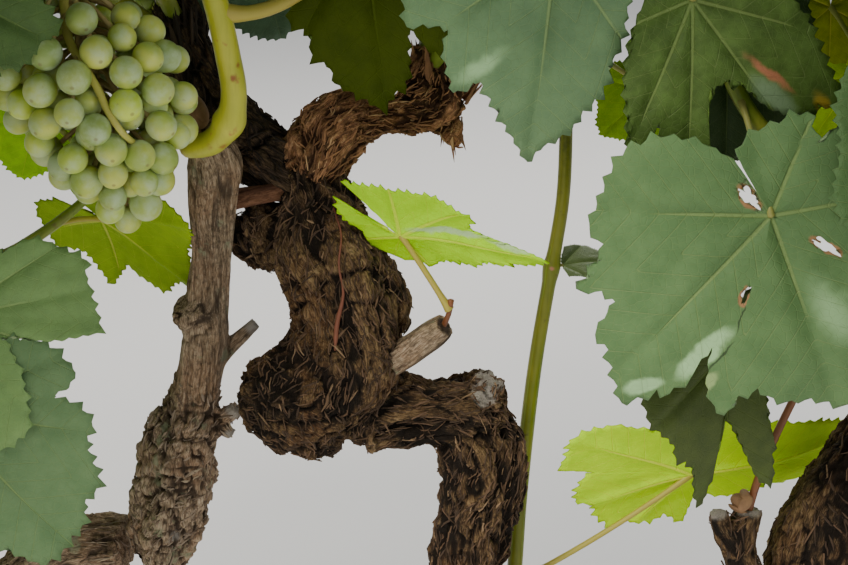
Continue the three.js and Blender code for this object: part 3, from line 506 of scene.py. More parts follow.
def styles(points, name):
    """Which bark grows where: shaggy, stringy, flaky or knobbly, as shares that add up to one."""
    shares = np.zeros((len(points), 4))
    x, y, z = points.T
    if name in ("trunk", "left_arm", "right_arm"):
        shares[:, 0] = 1
        knob = np.zeros(len(points))
        for bx, by, bz, hx, hy, hz in BURLS["trunk"][:1] + BURLS["trunk"][4:]:
            gap = np.sqrt(((x - bx) / hx) ** 2 + ((y - by) / hy) ** 2 + ((z - bz) / hz) ** 2)
            knob = np.maximum(knob, 1 - smoothstep(0.9, 1.5, gap))
        shares[:, 3] = knob
        shares[:, 0] -= knob
    elif name == "left_stem":
        knot = 1 - smoothstep(11, 17, np.linalg.norm(points - (-118, -12, 486), axis=1))
        upper = smoothstep(428, 452, z) * (1 - 0.9 * knot)
        shares[:, 1] = upper
        shares[:, 2] = 1 - upper
    elif name in ("left_stem_foot", "left_stem_elbow"):
        shares[:, 1] = 0.55
        shares[:, 2] = 0.45
    elif name == "right_stem":
        shares[:, 0] = 0.75
        shares[:, 3] = 0.25
    else:
        shares[:, 1] = 1
    return shares


def bark_piece(name, voxel, seed):
    """One limb's wood: its tubes and swellings made one skin, then furrowed along the grain."""
    lines = LINES[name]
    form = Shape()
    for line in lines:
        form.add(*limb_form(line))
    for x, y, z, half_x, half_y, half_z in BURLS.get(name, ()):
        points, faces = ball(4)
        ripple = np.sin(4 * points[:, 0] + 3 * points[:, 2] + x)
        swell = 1 + 0.09 * ripple * np.cos(3 * points[:, 1] - 2 * points[:, 0] + z)
        form.add(points * swell[:, None] * (half_x, half_y, half_z) + (x, y, z), faces)
    piece = form.piece(name + "_bark", [])
    apply_modifier(piece, "REMESH", mode="VOXEL", voxel_size=voxel * MM, use_smooth_shade=True)
    apply_modifier(piece, "SMOOTH", factor=0.5, iterations=max(2, int(5 / voxel)))
    mesh = piece.data
    points = field_of(mesh, "co") / MM
    normals = field_of(mesh, "normal")
    across, along, radius = grain_at(points, lines)
    style = styles(points, name)
    height = bark_relief(points, across, along, radius, style, seed)
    moved = points + normals * height[:, None]
    mesh.vertices.foreach_set("co", (moved * MM).ravel())
    add_field(mesh, "grain", "FLOAT_VECTOR", np.column_stack([across, along]))
    # Painted shade: the trunk is darkened below 400 mm, fading out by 435 mm, and this shade rides in the
    # relief field with the real relief.
    low_shade = 0.07 * (1 - smoothstep(400, 435, points[:, 2])) if name == "trunk" else 0
    relief_and_low_shade = 0.5 + height / (RELIEF_RANGE * relief_share(radius)) - 0.08 * style[:, 3] - low_shade
    add_field(mesh, "relief", "FLOAT", np.clip(relief_and_low_shade, 0, 1))
    worn = np.zeros(len(points))
    for x, y, z, size in CUTS.get(name, ()):
        near = 1 - smoothstep(0.75, 1.15, np.linalg.norm(points - (x, y, z), axis=1) / abs(size))
        worn = np.where(near > np.abs(worn), math.copysign(1, size) * near, worn)
    add_field(mesh, "cut", "FLOAT", worn)
    mesh.update()
    if moved[:, 2].min() < 0:
        use(piece)
        bpy.ops.object.mode_set(mode="EDIT")
        bpy.ops.mesh.select_all(action="SELECT")
        bpy.ops.mesh.bisect(plane_co=(0, 0, BASE_CUT * MM), plane_no=(0, 0, 1), use_fill=True,
                            clear_inner=True)
        bpy.ops.object.mode_set(mode="OBJECT")
    return piece


def skin_of(piece):
    """The piece's surface, to find places on it."""
    mesh = piece.data
    return BVHTree.FromPolygons([v.co[:] for v in mesh.vertices], [tuple(p.vertices) for p in mesh.polygons])


def ways_at(points, lines):
    """The way the nearest limb runs at each point."""
    best = np.full(len(points), 1e9)
    ways = np.zeros((len(points), 3))
    for line in lines:
        gaps = ((points[:, None, :] - line["places"][None, :, :]) ** 2).sum(2) / (line["radii"] ** 2)[None, :]
        nearest = gaps.argmin(1)
        value = gaps[np.arange(len(points)), nearest]
        mine = value < best
        ways[mine] = line["frames"][nearest[mine], 0]
        best[mine] = value[mine]
    return ways


# A sliver's faces: four rings of four points
SLIVER_FACES = [(3, 2, 1, 0), (12, 13, 14, 15)]
SLIVER_FACES += [(k + j, k + (j + 1) % 4, k + 4 + (j + 1) % 4, k + 4 + j) for k in (0, 4, 8) for j in range(4)]
# How many of the slivers have the first, second and third tone of their finish
SCALE_TONE_SHARES, SPLINTER_TONE_SHARES = (0.56, 0.38, 0.06), (0.6, 0.35, 0.05)


def scales(form, piece, lines, seed, count, length, width, lift, where=None):
    """Scales of bark: flat slivers laid along the grain on the skin, thin at both ends, one end lifted."""
    rng = np.random.default_rng(seed)
    skin = skin_of(piece)
    corners = field_of(piece.data, "co") / MM
    if where is not None:
        corners = corners[where(corners)]
    roots = corners[rng.integers(0, len(corners), count)] + rng.normal(0, 0.6, (count, 3))
    ways = ways_at(roots, lines)
    swirl = 3.0 * (noise(roots / 30, seed) - 0.5) + rng.normal(0, 0.2, count)
    for root, way, turn, allowed in zip(roots, ways, swirl, roots[:, 2] > LOWEST_FIBRE):
        spot, normal, _, _ = skin.find_nearest(Vector(root * MM))
        if not allowed:
            continue
        out = np.array(normal)
        flat = way - out * way.dot(out)
        if np.linalg.norm(flat) < 0.2:
            continue
        flat = unit(flat)
        flat = flat * math.cos(turn) + np.cross(out, flat) * math.sin(turn)
        flat = flat * rng.choice((-1, 1))
        long, wide, rise = rng.uniform(*length), rng.uniform(*width), rng.uniform(*lift) ** 2 / lift[1]
        rows = []
        for share, half, up in ((0, 0.3, 0), (0.35, 1, 0.1), (0.7, 0.85, 0.45), (1, 0.15, 1)):
            spot, normal, _, _ = skin.find_nearest(Vector((root + flat * long * (share - 0.5)) * MM))
            outward = np.array(normal)
            place = np.array(spot) / MM + outward * (0.15 + rise * up)
            cross = unit(np.cross(flat, outward)) * wide * half * 0.5
            rows.extend([place - cross, place + outward * 0.5, place + cross, place - outward * 0.55])
        form.add(rows, SLIVER_FACES, int(rng.choice(3, p=SCALE_TONE_SHARES)))


def splinters(form, end, way, radius, count, seed, length, wide):
    """Jagged fibres that stand up round the broken end of a limb."""
    rng = np.random.default_rng(seed)
    end, way = np.array(end, float), unit(np.array(way, float))
    side = unit(np.cross(way, [0.3, 1.0, 0.2]))
    other = np.cross(way, side)
    for _ in range(count):
        turn, away = rng.uniform(0, 2 * math.pi), radius * math.sqrt(rng.uniform(0.1, 1))
        out = side * math.cos(turn) + other * math.sin(turn)
        root = end + out * away - way * 9
        up = unit(way + out * rng.uniform(-0.1, 0.22) + rng.normal(0, 0.05, 3))
        long = rng.uniform(*length) * (1.25 - 0.6 * away / radius)
        half = rng.uniform(*wide) / 2
        turned = np.cross(up, out)
        rows = []
        for share, part in ((0, 1), (0.45, 1.05), (0.8, 0.6), (1, 0.08)):
            place = root + up * (long + 9) * share + out * 1.5 * share ** 2
            rows.extend([place - turned * half * part, place + out * half * 0.5 * part,
                         place + turned * half * part, place - out * half * 0.45 * part])
        form.add(rows, SLIVER_FACES, int(rng.choice(3, p=SPLINTER_TONE_SHARES)))


# Finishes
class Finish:
    """A procedural material, built node by node."""

    def __init__(self, name, roughness=0.8, **sockets):
        self.material = bpy.data.materials.new(name)
        self.material.use_nodes = True
        self.tree = self.material.node_tree
        self.shader = self.tree.nodes["Principled BSDF"]
        self.shader.inputs["Roughness"].default_value = roughness
        for key, value in sockets.items():
            self.shader.inputs[key.replace("_", " ").title().replace("Ior", "IOR")].default_value = value

    def node(self, kind, settings=None, **inputs):
        node = self.tree.nodes.new("ShaderNode" + kind)
        for key, value in (settings or {}).items():
            setattr(node, key, value)
        for key, value in inputs.items():
            numbered = key[0] == "i" and key[1:].isdigit()
            socket = node.inputs[int(key[1:]) if numbered else key.replace("_", " ")]
            if isinstance(value, bpy.types.NodeSocket):
                self.tree.links.new(value, socket)
            else:
                socket.default_value = value
        return node

    def object_place(self):
        return self.node("TexCoord").outputs["Object"]

    def attribute(self, name, output="Vector"):
        return self.node("Attribute", {"attribute_name": name}).outputs[output]

    def scaled(self, vector, scale):
        return self.node("Mapping", Vector=vector, Scale=scale).outputs["Vector"]

    def noise(self, vector, scale, detail=4.0, roughness=0.55, distortion=0.0):
        return self.node("TexNoise", Vector=vector, Scale=scale, Detail=detail, Roughness=roughness,
                         Distortion=distortion).outputs["Fac"]

    def ramp(self, value, stops):
        node = self.node("ValToRGB", Fac=value)
        elements = node.color_ramp.elements
        while len(elements) < len(stops):
            elements.new(0.5)
        for element, (place, colour) in zip(elements, stops):
            element.position = place
            element.color = (*colour, 1)
        return node.outputs["Color"]

    def math(self, operation, a, b=0.0, clamp=False):
        return self.node("Math", {"operation": operation, "use_clamp": clamp}, i0=a, i1=b).outputs[0]

    def vector(self, operation, a, b=(0, 0, 0), output="Vector"):
        return self.node("VectorMath", {"operation": operation}, i0=a, i1=b).outputs[output]

    def times(self, vector, scale):
        return self.node("VectorMath", {"operation": "SCALE"}, i0=vector, Scale=scale).outputs["Vector"]

    def between(self, value, low, high, start=0.0, end=1.0):
        return self.node("MapRange", {"clamp": True, "interpolation_type": "SMOOTHSTEP"}, Value=value,
                         From_Min=low, From_Max=high, To_Min=start, To_Max=end).outputs["Result"]

    def mix(self, share, a, b, blend="MIX"):
        node = self.node("Mix", {"data_type": "RGBA", "blend_type": blend})
        for socket, value in ((node.inputs[0], share), (node.inputs[6], a), (node.inputs[7], b)):
            if isinstance(value, bpy.types.NodeSocket):
                self.tree.links.new(value, socket)
            elif socket.type == "RGBA":
                socket.default_value = (*value, 1)
            else:
                socket.default_value = value
        return node.outputs[2]

    def colour(self, value):
        self.tree.links.new(value, self.shader.inputs["Base Color"])

    def rough(self, value):
        self.tree.links.new(value, self.shader.inputs["Roughness"])

    def bump(self, height, strength, distance):
        node = self.node("Bump", Strength=strength, Distance=distance, Height=height)
        self.tree.links.new(node.outputs["Normal"], self.shader.inputs["Normal"])


def bark_finish(name, deep, body, light, warm, pale, warm_share, pale_share, lichen=0.0, curl=4.0):
    """Fibrous bark: furrows dark and ridges light, partly its own tones and partly painted shade and
    highlight; with patches, and worn grey at its cuts.
    """
    f = Finish(name, roughness=0.9, specular_ior_level=0.22)
    grain = f.attribute("grain")
    # The relief field also carries the painted shade of the low trunk.
    relief = f.attribute("relief", "Fac")
    place = f.object_place()
    swirl = f.node("TexNoise", Vector=place, Scale=70.0, Detail=2.0).outputs["Color"]
    bent = f.vector("ADD", grain, f.times(swirl, curl))
    strands = f.noise(f.scaled(bent, (1, 1, 0.16)), 0.62, 5, 0.68)
    fine = f.noise(f.scaled(bent, (1, 1, 0.12)), 1.7, 4, 0.65)
    patch = f.noise(place, 24, 4, 0.6)
    crumbs = f.noise(place, 330, 4, 0.65)
    # Colour by relief: deep furrows dark and ridge tops pale, partly the bark's own tones and partly painted
    # shade and highlight.
    level = f.math("ADD", f.math("MULTIPLY", relief, 0.5), f.math("MULTIPLY", strands, 0.5))
    wood = f.ramp(level, [(0.34, deep), (0.46, body), (0.57, light), (0.72, pale)])
    wood = f.mix(f.math("MULTIPLY", f.between(patch, 0.46, 0.62), warm_share), wood, warm)
    wood = f.mix(f.math("MULTIPLY", f.between(fine, 0.52, 0.66), pale_share), wood, pale)
    # Painted shade: the deepest furrows are darkened almost to the deep tone.
    wood = f.mix(f.between(relief, 0.24, 0.44, 0.92, 0.0), wood, deep)
    wood = f.mix(f.between(fine, 0.38, 0.5, 0.6, 0.0), wood, deep)
    wood = f.mix(f.between(crumbs, 0.36, 0.5, 0.5, 0.0), wood, deep)
    if lichen:
        mossy = f.math("MULTIPLY", f.between(f.noise(place, 62, 4, 0.6), 0.56, 0.64), lichen)
        wood = f.mix(f.math("MULTIPLY", mossy, f.between(crumbs, 0.34, 0.5)), wood, (0.24, 0.25, 0.15))
    cut = f.attribute("cut", "Fac")
    wood = f.mix(f.math("MULTIPLY", cut, f.between(fine, 0.3, 0.6, 0.6, 1.0), True), wood, (0.38, 0.34, 0.29))
    wood = f.mix(f.math("MULTIPLY", cut, -0.85, True), wood, (0.03, 0.018, 0.012))
    f.colour(wood)
    height = f.math("ADD", strands, f.math("MULTIPLY", fine, 0.6))
    height = f.math("ADD", height, f.math("MULTIPLY", crumbs, 0.5))
    f.bump(height, 1.0, 0.0016)
    return f.material


DARK_BARK = bark_finish("dark_shaggy_bark", (0.012, 0.008, 0.005), (0.085, 0.048, 0.022),
                        (0.21, 0.128, 0.058),
                        (0.15, 0.062, 0.025), (0.42, 0.29, 0.15), 0.4, 0.4)
RUST_BARK = bark_finish("rust_brown_bark", (0.05, 0.024, 0.012), (0.36, 0.175, 0.075), (0.56, 0.3, 0.145),
                        (0.5, 0.2, 0.08), (0.72, 0.47, 0.26), 0.45, 0.4)
BLACK_BARK = bark_finish("black_bark", (0.009, 0.007, 0.005), (0.055, 0.035, 0.02), (0.14, 0.088, 0.046),
                         (0.12, 0.055, 0.025), (0.3, 0.2, 0.12), 0.35, 0.25)
GREY_BARK = bark_finish("grey_stringy_bark", (0.06, 0.04, 0.026), (0.29, 0.2, 0.122), (0.47, 0.35, 0.23),
                        (0.4, 0.2, 0.1), (0.66, 0.54, 0.39), 0.3, 0.45, lichen=0.8, curl=1.2)
RED_BARK = bark_finish("smooth_red_bark", (0.08, 0.035, 0.02), (0.2, 0.09, 0.048), (0.29, 0.14, 0.075),
                       (0.25, 0.1, 0.05), (0.38, 0.22, 0.14), 0.3, 0.2)


def plain_finish(name, colour, second, scale, roughness=0.7, **sockets):
    """Two close tones in soft patches."""
    f = Finish(name, roughness=roughness, **sockets)
    f.colour(f.mix(f.noise(f.object_place(), scale, 3), colour, second))
    return f.material


# Tones of the slivers of bark: a name and two colours each
SCALE_TONES = {
    "black": [("black", (0.012, 0.009, 0.006), (0.04, 0.025, 0.015)),
              ("char", (0.03, 0.019, 0.012), (0.08, 0.048, 0.027)),
              ("char_brown", (0.08, 0.048, 0.027), (0.18, 0.11, 0.06))],
    "dark": [("dark", (0.03, 0.018, 0.011), (0.1, 0.058, 0.031)),
             ("brown", (0.08, 0.045, 0.024), (0.19, 0.11, 0.058)),
             ("tan", (0.18, 0.11, 0.056), (0.34, 0.22, 0.12))],
    "rust": [("rust_dark", (0.15, 0.07, 0.034), (0.34, 0.165, 0.075)),
             ("rust", (0.34, 0.165, 0.072), (0.52, 0.27, 0.125)),
             ("gold", (0.48, 0.27, 0.12), (0.64, 0.42, 0.22))],
    "pale": [("grey", (0.2, 0.145, 0.1), (0.38, 0.29, 0.205)),
             ("grey_brown", (0.1, 0.065, 0.042), (0.22, 0.15, 0.1)),
             ("straw", (0.3, 0.22, 0.14), (0.48, 0.38, 0.26))],
}
SCALE_FINISHES = {tone: [plain_finish("bark_scale_" + name, first, second, 160, 0.95) for name, first,
                         second in rows]
                  for tone, rows in SCALE_TONES.items()}


# The wood: for each limb the size of its mesh and its bark
LIMBS = {"trunk": (1.4, DARK_BARK), "left_stem_foot": (1.7, GREY_BARK), "left_stem_elbow": (1.4, GREY_BARK),
         "left_stem": (0.85, GREY_BARK), "right_stem": (1.4, DARK_BARK), "left_arm": (0.85, BLACK_BARK),
         "right_arm": (0.75, RUST_BARK), "cross_branch": (0.7, RED_BARK), "centre_spur": (0.7, GREY_BARK)}

bark = {}
for number, name in enumerate(WOOD):
    voxel, finish = LIMBS[name]
    bark[name] = bark_piece(name, voxel, 100 + 50 * number)
    bark[name].data.materials.append(finish)
    finish_piece(bark[name], [name])


def upper_wood(corners):
    return corners[:, 2] > 330


def rough_wood(corners):
    return corners[:, 2] < 450


# The slivers of each limb: their tone, and for each kind its count, length, width, lift and where it grows
SCALES = {
    "trunk": ("dark", [(1700, (4, 13), (0.5, 1.5), (0.1, 1.0)),
                       (2500, (3, 12), (0.4, 1.3), (0.1, 1.0), upper_wood),
                       (150, (12, 26), (0.6, 1.4), (0.3, 2.6))]),
    "left_arm": ("black", [(900, (3, 12), (0.4, 1.4), (0.1, 1.3)), (80, (10, 22), (0.6, 1.6), (0.4, 3.0))]),
    "right_arm": ("rust", [(1300, (3, 11), (0.4, 1.2), (0.1, 1.1)), (70, (10, 18), (0.5, 1.4), (0.4, 2.6))]),
    "right_stem": ("dark", [(2200, (4, 13), (0.5, 1.6), (0.1, 1.1)),
                            (110, (12, 28), (0.6, 1.5), (0.3, 2.6))]),
    "left_stem_foot": ("pale", [(500, (4, 16), (0.5, 1.4), (0.1, 0.8))]),
    "left_stem_elbow": ("pale", [(300, (4, 18), (0.4, 1.3), (0.1, 0.7))]),
    "left_stem": ("pale", [(650, (2, 8), (0.5, 1.6), (0.1, 0.8), rough_wood)]),
}
# Splinters at broken ends: the end, the way it points, its radius, and their count, seed, lengths and widths
SPLINTERS = {
    "left_arm": [((-121, 28, 622), (-0.12, 0.05, 1), 14, 80, 81, (6, 24), (1.2, 3.6))],
    "right_arm": [((22, 13, 598), (0.5, -0.1, 0.9), 5, 9, 82, (6, 16), (1.6, 3.4)),
                  ((15, 14, 572), (0.25, 0, -1), 5, 9, 83, (5, 13), (1.6, 3.2)),
                  ((0, 16, 606), (-0.1, 0, 1), 12, 18, 84, (6, 16), (1.8, 4.0))],
}
for number, (name, (tone, kinds)) in enumerate(SCALES.items()):
    form = Shape()
    for order, kind in enumerate(kinds):
        scales(form, bark[name], LINES[name], 700 + 10 * number + order, *kind)
    for broken_end in SPLINTERS.get(name, ()):
        splinters(form, *broken_end)
    finish_piece(form.piece(name + "_scales", SCALE_FINISHES[tone], smooth=False))


# The shoots' own rule
def way_of(heading, rise):
    heading, rise = math.radians(heading), math.radians(rise)
    return np.array([math.cos(rise) * math.cos(heading), math.cos(rise) * math.sin(heading), math.sin(rise)])


def shoot_line(plan):
    """The shoot's joints: its guide points, then a curve that rises and droops, bent at each leaf."""
    points = list(plan["guide"])
    count = int(plan["length"] / INTERNODE + 0.5)
    draw = seeded(plan["seed"])
    for k in range(count):
        share = (k + 1) / count
        heading = plan["heading"] + (ZIGZAG if k % 2 else -ZIGZAG) + (draw() - 0.5) * SWAY
        rise = plan["rise"] - plan["droop"] * share ** 1.3
        points.append(points[-1] + way_of(heading, rise) * INTERNODE)
    return np.array(points)


def leaf_at(start, end, tip, face, reach):
    """A leaf: where its stalk starts and ends, and the blade's three directions."""
    start, end = np.array(start, float), np.array(end, float)
    along = unit(np.array(tip, float))
    face = np.array(face, float)
    out = unit(face - along * face.dot(along))
    across = np.cross(out, along)
    return {"start": start, "end": end, "along": along, "out": out, "across": across, "reach": reach}


def blade_relief(along, across):
    return 0.2 * (0.5 * np.abs(across) - across * across) - 0.16 * along * np.abs(along)


def blade_point(leaf, along, across, lift=0.0):
    relief = blade_relief(along, across) + lift
    return (leaf["end"] + leaf["reach"] * (np.multiply.outer(along, leaf["along"])
            + np.multiply.outer(across, leaf["across"]) + np.multiply.outer(relief, leaf["out"])))


def seen(points):
    """How far right and up each point shows through the window, for each unit of its distance."""
    pitch = math.radians(PITCH)
    away = np.atleast_2d(points) - EYE
    depth = away[:, 1] * math.cos(pitch) - away[:, 2] * math.sin(pitch)
    height = away[:, 1] * math.sin(pitch) + away[:, 2] * math.cos(pitch)
    return np.column_stack([away[:, 0], height]) / depth[:, None]


def in_window(points):
    """Whether points lie in the open window in front of the vine's head, and behind it."""
    return (np.abs(seen(points)) < HALF_WINDOW).all(1)


def beside_node(points, k):
    near = points[k + 1] if k + 1 < len(points) else points[k - 1]
    return points[k] + unit(near - points[k]) * BUD_OFFSET


def sideways_of(node, heading):
    flat = np.cross(heading, UP)
    return unit(flat) if np.linalg.norm(flat) >= 0.3 else unit(np.array([node[1], -node[0], 0.0]))


def leaf_on_node(node, heading, side, reach, draw):
    """A leaf at one node of a shoot: its stalk leans out to one side, and its blade hangs down."""
    sideways = sideways_of(node, heading) * side
    outwards = unit(np.array([node[0], node[1], 0.0]))
    lean = draw() - 0.5
    lift = 0.3 + 0.5 * (draw() - 0.5)
    stalk = unit(sideways * 0.85 + heading * (0.3 + 0.5 * lean) + outwards * 0.45 + UP * lift)
    end = node + stalk * reach * PETIOLE_SHARE * (0.85 + 0.3 * draw())
    tip = unit(np.array([stalk[0], stalk[1], 0.0])) + outwards * 0.4 + UP * (-0.8 - 0.9 * draw())
    face = outwards * 0.9 + UP * (0.3 + 0.5 * draw())
    face = face + sideways * (1.1 * (draw() - 0.5))
    return leaf_at(node, end, tip, face, reach)


def side_twig(node, heading, side, draw):
    sideways = sideways_of(node, heading) * side
    way = unit(sideways + heading * (0.5 + 0.4 * draw()) + UP * (0.2 + 0.3 * draw()))
    first = node + way * TWIG_LENGTH / 2
    way = unit(way + heading * 0.3 - UP * 0.25)
    return np.array([node, first, first + way * TWIG_LENGTH / 2])


def corners_of(name):
    return field_of(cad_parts[name].data, "co") / MM


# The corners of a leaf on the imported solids, how near one has to be, and how many make a leaf
PLAIN_RIM = [(0, 1), (54, 0.93), (-54, 0.93), (128, 0.76), (-128, 0.76), (168, 0.09), (-168, 0.09)]
CORNER_GAP = 0.15
ENOUGH_CORNERS = 4
TWIG_GAP = 2.6


def stands(leaf, corners):
    """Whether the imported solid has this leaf: most of its rim's corners are there."""
    found = 0
    for turn, reach in PLAIN_RIM:
        corner = blade_point(leaf, reach * math.cos(math.radians(turn)), reach * math.sin(math.radians(turn)))
        found += bool((((corners - corner) ** 2).sum(1) < CORNER_GAP ** 2).any())
    return found >= ENOUGH_CORNERS


def grown(plan, line, corners, twig_guess):
    """The shoot's leaves by its rule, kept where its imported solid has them.

    A side twig that the solid doesn't show may still have used its draws, as twig_guess says for each.
    """
    draw = seeded(plan["seed"] + 500)
    out = {"leaves": [], "twigs": [], "unseen": 0}
    first = len(plan["guide"]) - (0 if plan["first"] else 1)

    def try_leaf(node, heading, side, size):
        for _ in range(ATTEMPTS):
            leaf = leaf_on_node(node, heading, side, size, draw)
            if stands(leaf, corners):
                out["leaves"].append(leaf)
                return

    for k in range(first, len(line)):
        share = (k - first) / (len(line) - first)
        heading = unit(line[k] - line[k - 1])
        side = 1 if k % 2 else -1
        size = LEAF_REACH * (1 - 0.45 * share * share) * (0.85 + 0.3 * draw())
        try_leaf(beside_node(line, k), heading, side, size)
        if (k - first) % TWIG_EVERY != 1:
            continue
        twig = side_twig(line[k], heading, -side, draw)
        near = np.sqrt(((corners - twig[2]) ** 2).sum(1))
        if (near < TWIG_GAP).sum() >= 2:
            out["twigs"].append(twig)
        else:
            out["unseen"] += 1
            if not twig_guess[(out["unseen"] - 1) % len(twig_guess)]:
                continue
        for at in (1, 2):
            try_leaf(beside_node(twig, at), unit(twig[at] - twig[at - 1]), side if at % 2 else -side,
                     LEAF_REACH * (0.8 - 0.1 * at))
    return out


def nearest_on_line(points, p):
    best = points[0]
    for a, b in zip(points[:-1], points[1:]):
        share = np.clip((p - a).dot(b - a) / (b - a).dot(b - a), 0, 1)
        spot = a + (b - a) * share
        if np.linalg.norm(spot - p) < np.linalg.norm(best - p):
            best = spot
    return best


for plan in SHOOTS:
    plan["line"] = shoot_line(plan)
    if plan["length"]:
        corners = corners_of(plan["name"])
        guesses = itertools.product((False, True), repeat=3)
        ways = [grown(plan, plan["line"], corners, guess) for guess in guesses]
        plan["grown"] = max(ways, key=lambda way: len(way["leaves"]))
    else:
        plan["grown"] = {"leaves": [], "twigs": []}
    plan["placed"] = []
    for start, end, tip, face, reach, look in plan["leaves"]:
        leaf = leaf_at(nearest_on_line(plan["line"], np.array(start, float)), end, tip, face, reach)
        plan["placed"].append(dict(leaf, look=look))
    if plan["bunch_at"] is not None:
        node = plan["line"][len(plan["guide"]) - 1 + plan["bunch_at"]]
        plan["bunches"].append({"start": tuple(node), "neck": (node[0], node[1], node[2] - 44), "radius": 33,
                                "length": 108, "lean": (0, 0)})

# Blades
VEIN_ANGLES = (-118, -54, 0, 54, 118)
OUTLINE = np.array([(0, 1.0), (8, 0.94), (17, 0.86), (27, 0.79), (38, 0.84), (54, 0.93), (66, 0.87),
                    (80, 0.76), (88, 0.74),
                    (102, 0.78), (118, 0.8), (134, 0.75), (148, 0.63), (160, 0.42), (168, 0.2), (174, 0.07)])
BOTH_SIDES = np.vstack([OUTLINE[:0:-1] * (-1, 1), OUTLINE])


def blade_rim(corners, count, tooth, pattern, draw):
    """The blade's edge, evenly stepped round through its corners, with small teeth of uneven size."""
    angles = np.radians(corners[:, 0])
    line = np.column_stack([corners[:, 1] * np.cos(angles), corners[:, 1] * np.sin(angles)])
    run = np.concatenate([[0], np.cumsum(np.linalg.norm(np.diff(line, axis=0), axis=1))])
    at = np.linspace(0, run[-1], count)
    rim = np.column_stack([np.interp(at, run, line[:, 0]), np.interp(at, run, line[:, 1])])
    way = np.gradient(rim, axis=0)
    out = np.column_stack([way[:, 1], -way[:, 0]]) / (np.linalg.norm(way, axis=1)[:, None] + 1e-9)
    sizes = [0.45 + 1.1 * draw() for _ in range(count // len(pattern) + 2)]
    teeth = np.array([pattern[k % len(pattern)] * sizes[k // len(pattern)] for k in range(count)])
    calm = smoothstep(0.2, 0.45, np.linalg.norm(rim, axis=1))
    return rim + out * (tooth * teeth * calm)[:, None]


def level_out(values, width):
    """Each value's mean with its neighbours, with the ends kept."""
    spread = np.pad(values, width, mode="reflect", reflect_type="odd")
    window = np.ones(2 * width + 1) / (2 * width + 1)
    return np.convolve(spread, window, mode="valid")


def in_hole(along, across, hole):
    """Places in a hole's own frame, and how far out they are, where 1 is its ragged rim."""
    (x, y), long, wide, angle = hole
    cos, sin = math.cos(math.radians(angle)), math.sin(math.radians(angle))
    a, c = ((along - x) * cos + (across - y) * sin) / long, ((across - y) * cos - (along - x) * sin) / wide
    round_ = np.arctan2(c, a)
    ragged = 1 + 0.2 * np.sin(3 * round_ + 40 * x) + 0.14 * np.sin(5 * round_ + 9)
    ragged = ragged + 0.08 * np.sin(9 * round_ + 2)
    return a, c, np.hypot(a, c) / ragged + 1e-6


def blade_surface(leaf, count, rings, draw, tooth, pattern, corners, veins=VEIN_ANGLES, wave=0.05, fold=0.0,
                  crease=0.014, holes=()):
    """A lobed blade with a toothed edge: points, faces, and each point's place by its vein and on it."""
    rim = blade_rim(np.asarray(corners, float), count, tooth, pattern, draw)
    turn = np.maximum.accumulate(np.unwrap(np.arctan2(rim[:, 1], rim[:, 0])) + np.arange(count) * 1e-6)
    shares = (np.arange(1, rings + 1) / rings)[:, None] ** 0.85
    edge = np.linalg.norm(rim, axis=1)
    even, calm = level_out(turn, count // 16), np.minimum(level_out(edge, count // 16), 1.25 * edge)
    reach = shares * calm + shares ** 4 * (edge - calm)
    turned = even + shares ** 4 * (turn - even)
    along, across = reach * np.cos(turned), reach * np.sin(turned)
    for hole in holes:
        (x, y), long, wide, angle = hole
        cos, sin = math.cos(math.radians(angle)), math.sin(math.radians(angle))
        a, c, far = in_hole(along, across, hole)
        pull = np.where(np.abs(far - 1) < 0.4, 1 / far, 1.0)
        a, c = a * pull * long, c * pull * wide
        along, across = x + a * cos - c * sin, y + a * sin + c * cos
    theta, reach = np.arctan2(across, along), np.hypot(along, across)
    away = (theta - np.radians(veins)[:, None, None] + math.pi) % (2 * math.pi) - math.pi
    off = np.abs(away).min(0)
    u, v = reach * np.cos(off), reach * np.abs(np.sin(off))
    turns = [2 * math.pi * draw() for _ in range(6)]
    ripple = (np.sin(3 * theta + turns[0]) * 0.5 + np.sin(5 * theta + turns[1]) * 0.35
              + np.sin(9 * theta + turns[2] + 2 * reach) * 0.22)
    lift = wave * ripple * reach ** 1.6 + fold * np.abs(across) - crease * np.exp(-(v / 0.035) ** 2)
    lift = lift + 0.5 * crease * np.sin(np.clip(v / 0.16, 0, 1) * math.pi)
    lift = lift + 0.02 * np.sin(7 * along + turns[3]) * reach
    flat = blade_point(leaf, along, across, lift)
    middle = blade_point(leaf, np.zeros(1), np.zeros(1), np.array([-crease]))
    points = np.vstack([middle.reshape(1, 3), flat.reshape(-1, 3)])
    extra = np.vstack([[0, 0, 0, 0], np.stack([u, v, along, across], -1).reshape(-1, 4)])
    faces = [(0, 1 + j, 2 + j) for j in range(count - 1)]
    for i in range(rings - 1):
        low, high = 1 + i * count, 1 + (i + 1) * count
        faces.extend((low + j, high + j, high + j + 1, low + j + 1) for j in range(count - 1))
    if holes:
        centre = np.array([extra[list(face), 2:4].mean(0) for face in faces])
        keep = np.ones(len(faces), bool)
        for hole in holes:
            keep &= in_hole(centre[:, 0], centre[:, 1], hole)[2] > 1
        faces = [face for face, kept in zip(faces, keep) if kept]
    return points, faces, extra


def stalk_places(leaf, sag=0.1, count=9):
    """A leaf stalk's line, bent a little, that meets the blade from behind its notch."""
    start, end = leaf["start"], leaf["end"]
    long = np.linalg.norm(end - start)
    middle = (start + end) / 2 + UP * long * sag
    shares = np.linspace(0, 1, count)[:, None]
    return (1 - shares) ** 2 * start + 2 * shares * (1 - shares) * middle + shares ** 2 * end


# Room for finer growth
LOWEST_LEAF = 150
room_points, room_sizes = [], []


def take(points, size):
    points = np.atleast_2d(points)
    room_points.append(points)
    room_sizes.append(np.full(len(points), float(size)))


